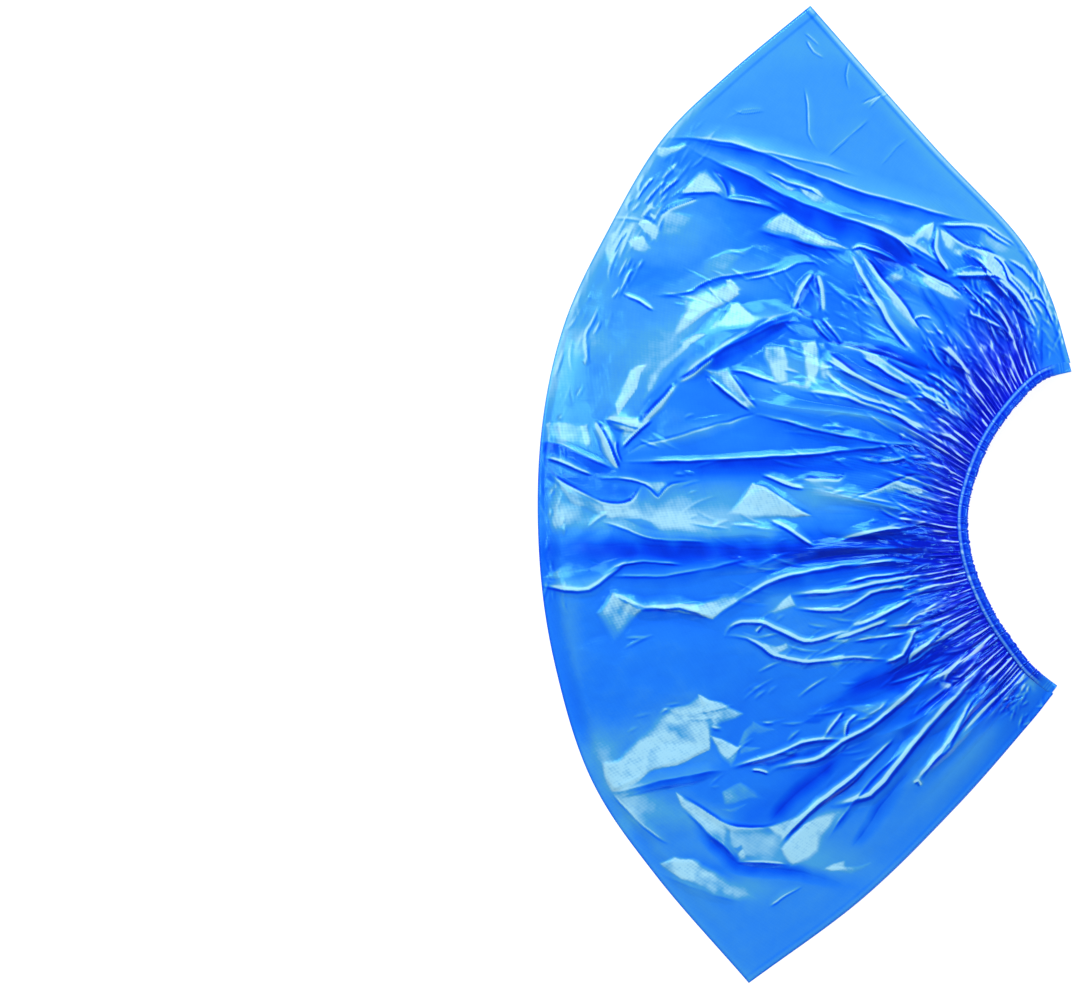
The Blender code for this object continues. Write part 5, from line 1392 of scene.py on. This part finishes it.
# How light the film is, its painted light and shade included: 0 to 1 up the ramps of filmLook
toneLook = {
    "level": 0.575,
    # painted highlight on film that stands proud and painted shade on film below its surroundings:
    # lightness, height that brings most of it, share of the grid compared
    "proud": (0.14, 0.8 * mm, 130),
    "proudWide": (0.09, 3.0 * mm, 37),
    "byCuff": -0.12,
    "toeEnd": 0.115,
    "heelEnd": 0.07,
    # lines along the edges: lightness, distance from the edge, width
    "weldLine": (-0.06, 2.4 * mm, 0.6 * mm),
    "weldLip": (0.03, 0, 1.8 * mm),
    "weldToeExtra": 0.12,
    "toeRim": 0.09,
    "soleLine": (-0.12, 3.4 * mm, 0.5 * mm),
    "outline": (-0.16, 0, 0.5 * mm),
    # painted light on the fold along the sole and a thin painted highlight at its very edge: lightness,
    # reach
    "soleGlow": (0.34, 9 * mm),
    "soleEdge": (0.10, 1.5 * mm),
}


def filmTone(grid, z):
    # Painted highlight where film stands proud of its surroundings, painted shade in valleys, deeper by
    # the cuff
    look = toneLook
    u, v = grid["u"], grid["v"]
    tone = np.full(z.shape, look["level"])
    for amount, height, share in (look["proud"], look["proudWide"]):
        tone += amount * np.tanh((z - blur(z, upperGrid[0] // share)) / height)
    fromSole, fromCuff = v * coverPlan["webDepth"], (1 - v) * coverPlan["webDepth"]
    ends = np.minimum(u, 1 - u)
    tone += look["byCuff"] * (1 - smooth(fromCuff, 8 * mm, 60 * mm)) * smooth(ends, 0.05, 0.16)
    tone += look["toeEnd"] * (1 - smooth(u, 0.13, 0.20)) + look["heelEnd"] * smooth(u, 0.84, 0.93)
    # pressed welds: a thin deep line just inside the edge and a lighter lip outside it
    toEdge = ends * grid["webLength"]
    extra = look["weldToeExtra"] * (1 - smooth(u, 0.4, 0.6))
    for name, sign in (("weldLine", -1), ("weldLip", 1)):
        amount, place, width = look[name]
        tone += (amount + sign * extra) * bell(toEdge, place, width)
    tone += look["toeRim"] * (1 - smooth(u * grid["webLength"], 2 * mm, 9 * mm)) * smooth(v, 0.1, 0.4)
    # painted light on the fold along the sole, most of all between toe and middle, and a thin painted
    # highlight at its very edge
    rim = smooth(u, 0.10, 0.18) * (1 - smooth(u, 0.36, 0.50))
    amount, reach = look["soleGlow"]
    tone += amount * rim * np.exp(-((fromSole / reach) ** 1.5))
    amount, reach = look["soleEdge"]
    tone += amount * np.exp(-fromSole / reach)
    amount, place, width = look["soleLine"]
    tone += amount * bell(fromSole, place, width) * (1 - smooth(u, 0.12, 0.15))
    # the very edge of the web looks darker against the floor
    amount, place, width = look["outline"]
    tone += amount * bell(np.minimum(fromSole, toEdge), place, width)
    # adds the painted light and shade of creases, panes, soft areas and pleats
    return np.clip(tone + grid.get("light", 0) + grid.get("pleatLight", 0), 0, 1)


def gatherTone(grid):
    # 1 where the film is drawn together at the cuff, 0 out on the body and at the plain ends
    fromCuff = (1 - grid["v"]) * coverPlan["webDepth"]
    reach = (34 + 16 * swirl(grid["s"], grid["s"] * 0, 0.045, 31)) * mm
    # it reaches further at the toe end
    reach = reach + 12 * mm * (1 - smooth(grid["s"], 0.14, 0.30))
    plainEnds = smooth(grid["s"], 0.050, 0.12) * smooth(1 - grid["s"], 0.050, 0.15)
    return (1 - smooth(fromCuff, 0.15 * reach, reach)) * plainEnds


def gridNormals(points):
    # Cross product of the steps along the two grid directions
    normal = np.cross(np.gradient(points, axis=0), np.gradient(points, axis=1))
    return normal / np.maximum(np.linalg.norm(normal, axis=-1, keepdims=True), 1e-12)


def filmSide(name, columns, rows, upper, stretches):
    # One side of the web, in stretches from toe to heel that share their border points and normals
    grid = filmGrid(columns, rows)
    z = upperHeights(grid) if upper else lowerHeights(grid)
    points = np.stack([grid["x"], grid["y"], z], -1)
    uv = np.stack([grid["u"] * grid["webLength"], grid["v"] * coverPlan["webDepth"]], -1)
    # colour attributes: tone with its painted light and shade, gathered layers, painted highlight
    # patches
    tone = {
        "filmTone": filmTone(grid, z),
        "filmGather": gatherTone(grid),
        "paintedHighlightPatch": grid.get("patch", z * 0),
    }
    normals = gridNormals(points) * (1 if upper else -1)
    cuts = np.linspace(0, columns - 1, len(stretches) + 1).astype(int)
    pieces = []
    for stretch, first, last in zip(stretches, cuts[:-1], cuts[1:]):
        part = slice(first, last + 1)
        partTone = {label: values[part] for label, values in tone.items()}
        piece = surfaceMesh(name + stretch, points[part], film, uv[part], partTone, upwards=upper)
        piece.data.normals_split_custom_set_from_vertices(normals[part].reshape(-1, 3))
        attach(piece, "root")
        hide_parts("film_pouch")
        pieces.append(piece)
    return pieces


film = filmMaterial("blueFilm", filmLook)
upperGrid = ((1201, 333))
lowerGrid = (300, 80)
upperFilm = filmSide("upper_film", *upperGrid, True, ("_toe", "_front", "_back", "_heel"))
lowerFilm = filmSide("lower_film", *lowerGrid, False, ("",))
print("film sides made")


# Hems: film folded back over the elastic and ruffled by it
hemLook = {
    "steps": 1200,
    "around": 18,
    "ruffles": 112,
    "ruffleOut": 0.34 * mm,
    "ruffleUp": 0.34 * mm,
    "thickness": 1.15 * mm,
    "sealAt": 0.62,  # where the seal line lies, from -1 at the outer edge to 1 at the film
    "sealWidth": 0.26,
    "tone": 0.40,
    "sealTone": 0.83,
    "plainTone": 0.60,
    "gather": 0.45,
}


def hemTube(name, node, upper):
    # A flattened ring carried along the cuff: half axes swell and shrink with the ruffles; painted
    # highlight on the ruffle crests and painted shade toward the band's rounded edges
    look = hemLook
    cuff = planCurve("cuff")
    arc = arcOf(cuff)[-1]
    s = np.linspace(0.004, 0.996, look["steps"])
    tip = alongCurve(cuff, s)
    way = np.gradient(tip, axis=0)
    way /= np.linalg.norm(way, axis=1)[:, None]
    out = np.stack([-way[:, 1], way[:, 0]], -1)
    tab = coverPlan["tab"] / arc
    low, high = mouthHeights(s, tab)
    middle = high if upper else low
    gathered = smooth(np.minimum(s, 1 - s), 0.5 * tab, 1.0 * tab)
    seed = 21 if upper else 22
    wander = swirl(s, s * 0, 0.02, seed) * 1.6
    phase = (s * look["ruffles"] + wander)[:, None]
    strength = (0.65 + 0.7 * swirl(s, s * 0, 0.011, seed + 1)) * gathered
    strength = strength[:, None]
    angle = np.linspace(0, 2 * np.pi, look["around"], endpoint=False)[None, :]
    across = np.cos(angle)
    # ruffles run slightly askew across the band, with sharp crests
    crest = 1 - 2 * np.abs(2 * ((phase + 0.25 * across) % 1) - 1) ** 0.8
    second = np.sin(np.pi * phase * 1.37 + 1.3 + 0.8 * across)
    halfWide = coverPlan["hemWidth"] / 2
    flat = 0.35 + 0.65 * gathered[:, None]
    outer = smooth(-across, -0.35, 0.2)
    thick = look["thickness"] * flat + look["ruffleUp"] * strength * (0.7 * crest + 0.4 * second) * outer
    # the inner side is pressed flat along the seal line that closes the hem
    seal = np.exp(-(((across - look["sealAt"]) / look["sealWidth"]) ** 4))
    press = 1 - 0.45 * bell(across, look["sealAt"] - 0.42, 0.14)
    inward = halfWide * (1 + across)
    inward = inward + look["ruffleOut"] * strength * (0.6 * crest + 0.5 * second) * outer
    up = thick * np.sin(angle) * press
    points = np.empty((len(s), look["around"], 3))
    points[..., 0] = tip[:, None, 0] - out[:, None, 0] * inward
    points[..., 1] = tip[:, None, 1] - out[:, None, 1] * inward
    points[..., 2] = np.maximum(middle[:, None] + up, 0.05 * mm)
    # painted highlight on the ruffle crests, painted shade toward the band's rounded edges
    tone = look["tone"] + (0.16 * crest + 0.10 * second) * strength - 0.10 * np.abs(across)
    tone -= 0.22 * bell(across, look["sealAt"] - 0.46, 0.12)
    tone = tone * (1 - seal) + (look["sealTone"] + 0.10 * (second + crest) * strength) * seal
    tone = tone * gathered[:, None] + (look["plainTone"] + 0.06 * second) * (1 - gathered[:, None])
    uv = np.stack(np.broadcast_arrays(s[:, None] * arc, angle * halfWide), -1)
    tones = {
        "filmTone": np.clip(tone, 0, 1),
        "filmGather": look["gather"] * np.broadcast_to(gathered[:, None], up.shape),
        "paintedHighlightPatch": up * 0,
    }
    piece = surfaceMesh(name, points, film, uv, tones, ring=True)
    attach(piece, "root")
    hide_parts(node)
    return piece


upperHem = hemTube("upper_hem_film", "upper_hem", True)
lowerHem = hemTube("lower_hem_film", "lower_hem", False)
print("hems made")


# Elastic threads keep their solids and get a rubber finish
def elasticMaterial():
    # Dull pale blue rubber with a fine grain
    material, nodes, links = blankMaterial("elasticRubber")
    place = nodes.new("ShaderNodeTexCoord")
    grain = nodes.new("ShaderNodeTexNoise")
    grain.inputs["Scale"].default_value = 900.0
    links.new(place.outputs["Object"], grain.inputs["Vector"])
    ramp = nodes.new("ShaderNodeValToRGB")
    ramp.color_ramp.elements[0].color = (0.42, 0.56, 0.82, 1)
    ramp.color_ramp.elements[1].color = (0.62, 0.74, 0.93, 1)
    links.new(grain.outputs["Fac"], ramp.inputs["Fac"])
    shader = nodes.new("ShaderNodeBsdfPrincipled")
    shader.inputs["Roughness"].default_value = 0.6
    links.new(ramp.outputs["Color"], shader.inputs["Base Color"])
    out = nodes.new("ShaderNodeOutputMaterial")
    links.new(shader.outputs["BSDF"], out.inputs["Surface"])
    return material


rubber = elasticMaterial()
for side in ("upper", "lower"):
    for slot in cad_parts[side + "_elastic"].material_slots:
        slot.material = rubber


# Studio: pale floor, soft boxes off the zenith so that only tilted film glints
studio = {
    "floor": 0.30,
    "floorGlow": 0.86,  # keeps the floor white beside and below the cover
    "floorReach": 4.0,
    "sky": 0.22,
    "boxes": (
        # name, place, size, power
        ("topBox", (-0.10, 1.05, 1.15), (1.1, 0.45), 18.4),
        ("leftBox", (-1.15, 0.25, 1.10), (0.45, 0.9), 8.2),
        ("rightBox", (1.05, -0.10, 1.00), (0.25, 0.9), 7.0),
        ("frontBox", (0.05, -1.15, 0.95), (0.9, 0.25), 1.4),
    ),
}


def makeFloor():
    # A plain pale square far larger than the picture
    mesh = bpy.data.meshes.new("floor")
    reach = studio["floorReach"]
    corners = [(-reach, -reach, 0), (reach, -reach, 0), (reach, reach, 0), (-reach, reach, 0)]
    mesh.from_pydata(corners, [], [(0, 1, 2, 3)])
    material, nodes, links = blankMaterial("paleFloor")
    shader = nodes.new("ShaderNodeBsdfPrincipled")
    shader.inputs["Base Color"].default_value = (studio["floor"],) * 3 + (1,)
    shader.inputs["Roughness"].default_value = 0.9
    shader.inputs["Specular IOR Level"].default_value = 0.0
    shader.inputs["Emission Color"].default_value = (1, 1, 1, 1)
    shader.inputs["Emission Strength"].default_value = studio["floorGlow"]
    out = nodes.new("ShaderNodeOutputMaterial")
    links.new(shader.outputs["BSDF"], out.inputs["Surface"])
    mesh.materials.append(material)
    floor = bpy.data.objects.new("floor", mesh)
    bpy.context.collection.objects.link(floor)


def makeLights():
    # One soft box for each row of the studio's table
    for name, place, size, power in studio["boxes"]:
        light = bpy.data.lights.new(name, "AREA")
        light.shape = "RECTANGLE"
        light.size, light.size_y = size
        light.energy = power
        lamp = bpy.data.objects.new(name, light)
        bpy.context.collection.objects.link(lamp)
        lamp.location = place
        away = np.array(place)
        flat = np.hypot(away[0], away[1])
        lamp.rotation_euler = (np.arctan2(flat, away[2]), 0, np.arctan2(away[0], -away[1]))
    world = bpy.data.worlds.new("softSky")
    world.use_nodes = True
    sky = world.node_tree.nodes["Background"]
    sky.inputs["Color"].default_value = (0.95, 0.98, 1.0, 1)
    sky.inputs["Strength"].default_value = studio["sky"]
    bpy.context.scene.world = world


photo = {
    "width": 1085,
    "height": 1000,
    # where the cover lies in it, in pixels
    "coverLeft": 538.5,
    "coverRight": 1072.5,
    "coverTop": 5.7,
    "coverBottom": 983.0,
    "lens": 135,
    "sensor": 36,
}


def makeCamera():
    # Straight above the middle of the photograph's frame, with a long lens
    metresPerPixel = 2 * halfSize[1] / (photo["coverBottom"] - photo["coverTop"])
    middleX = (photo["coverLeft"] + photo["coverRight"]) / 2
    middleY = (photo["coverTop"] + photo["coverBottom"]) / 2
    data = bpy.data.cameras.new("camera")
    data.lens = photo["lens"]
    data.sensor_width = photo["sensor"]
    camera = bpy.data.objects.new("camera", data)
    bpy.context.collection.objects.link(camera)
    camera.location = (
        coverMiddle[0] + (photo["width"] / 2 - middleX) * metresPerPixel,
        coverMiddle[1] - (photo["height"] / 2 - middleY) * metresPerPixel,
        photo["width"] * metresPerPixel * data.lens / data.sensor_width,
    )
    bpy.context.scene.camera = camera


makeFloor()
makeLights()
makeCamera()
bpy.context.scene.view_settings.view_transform = "Standard"
print("studio made")
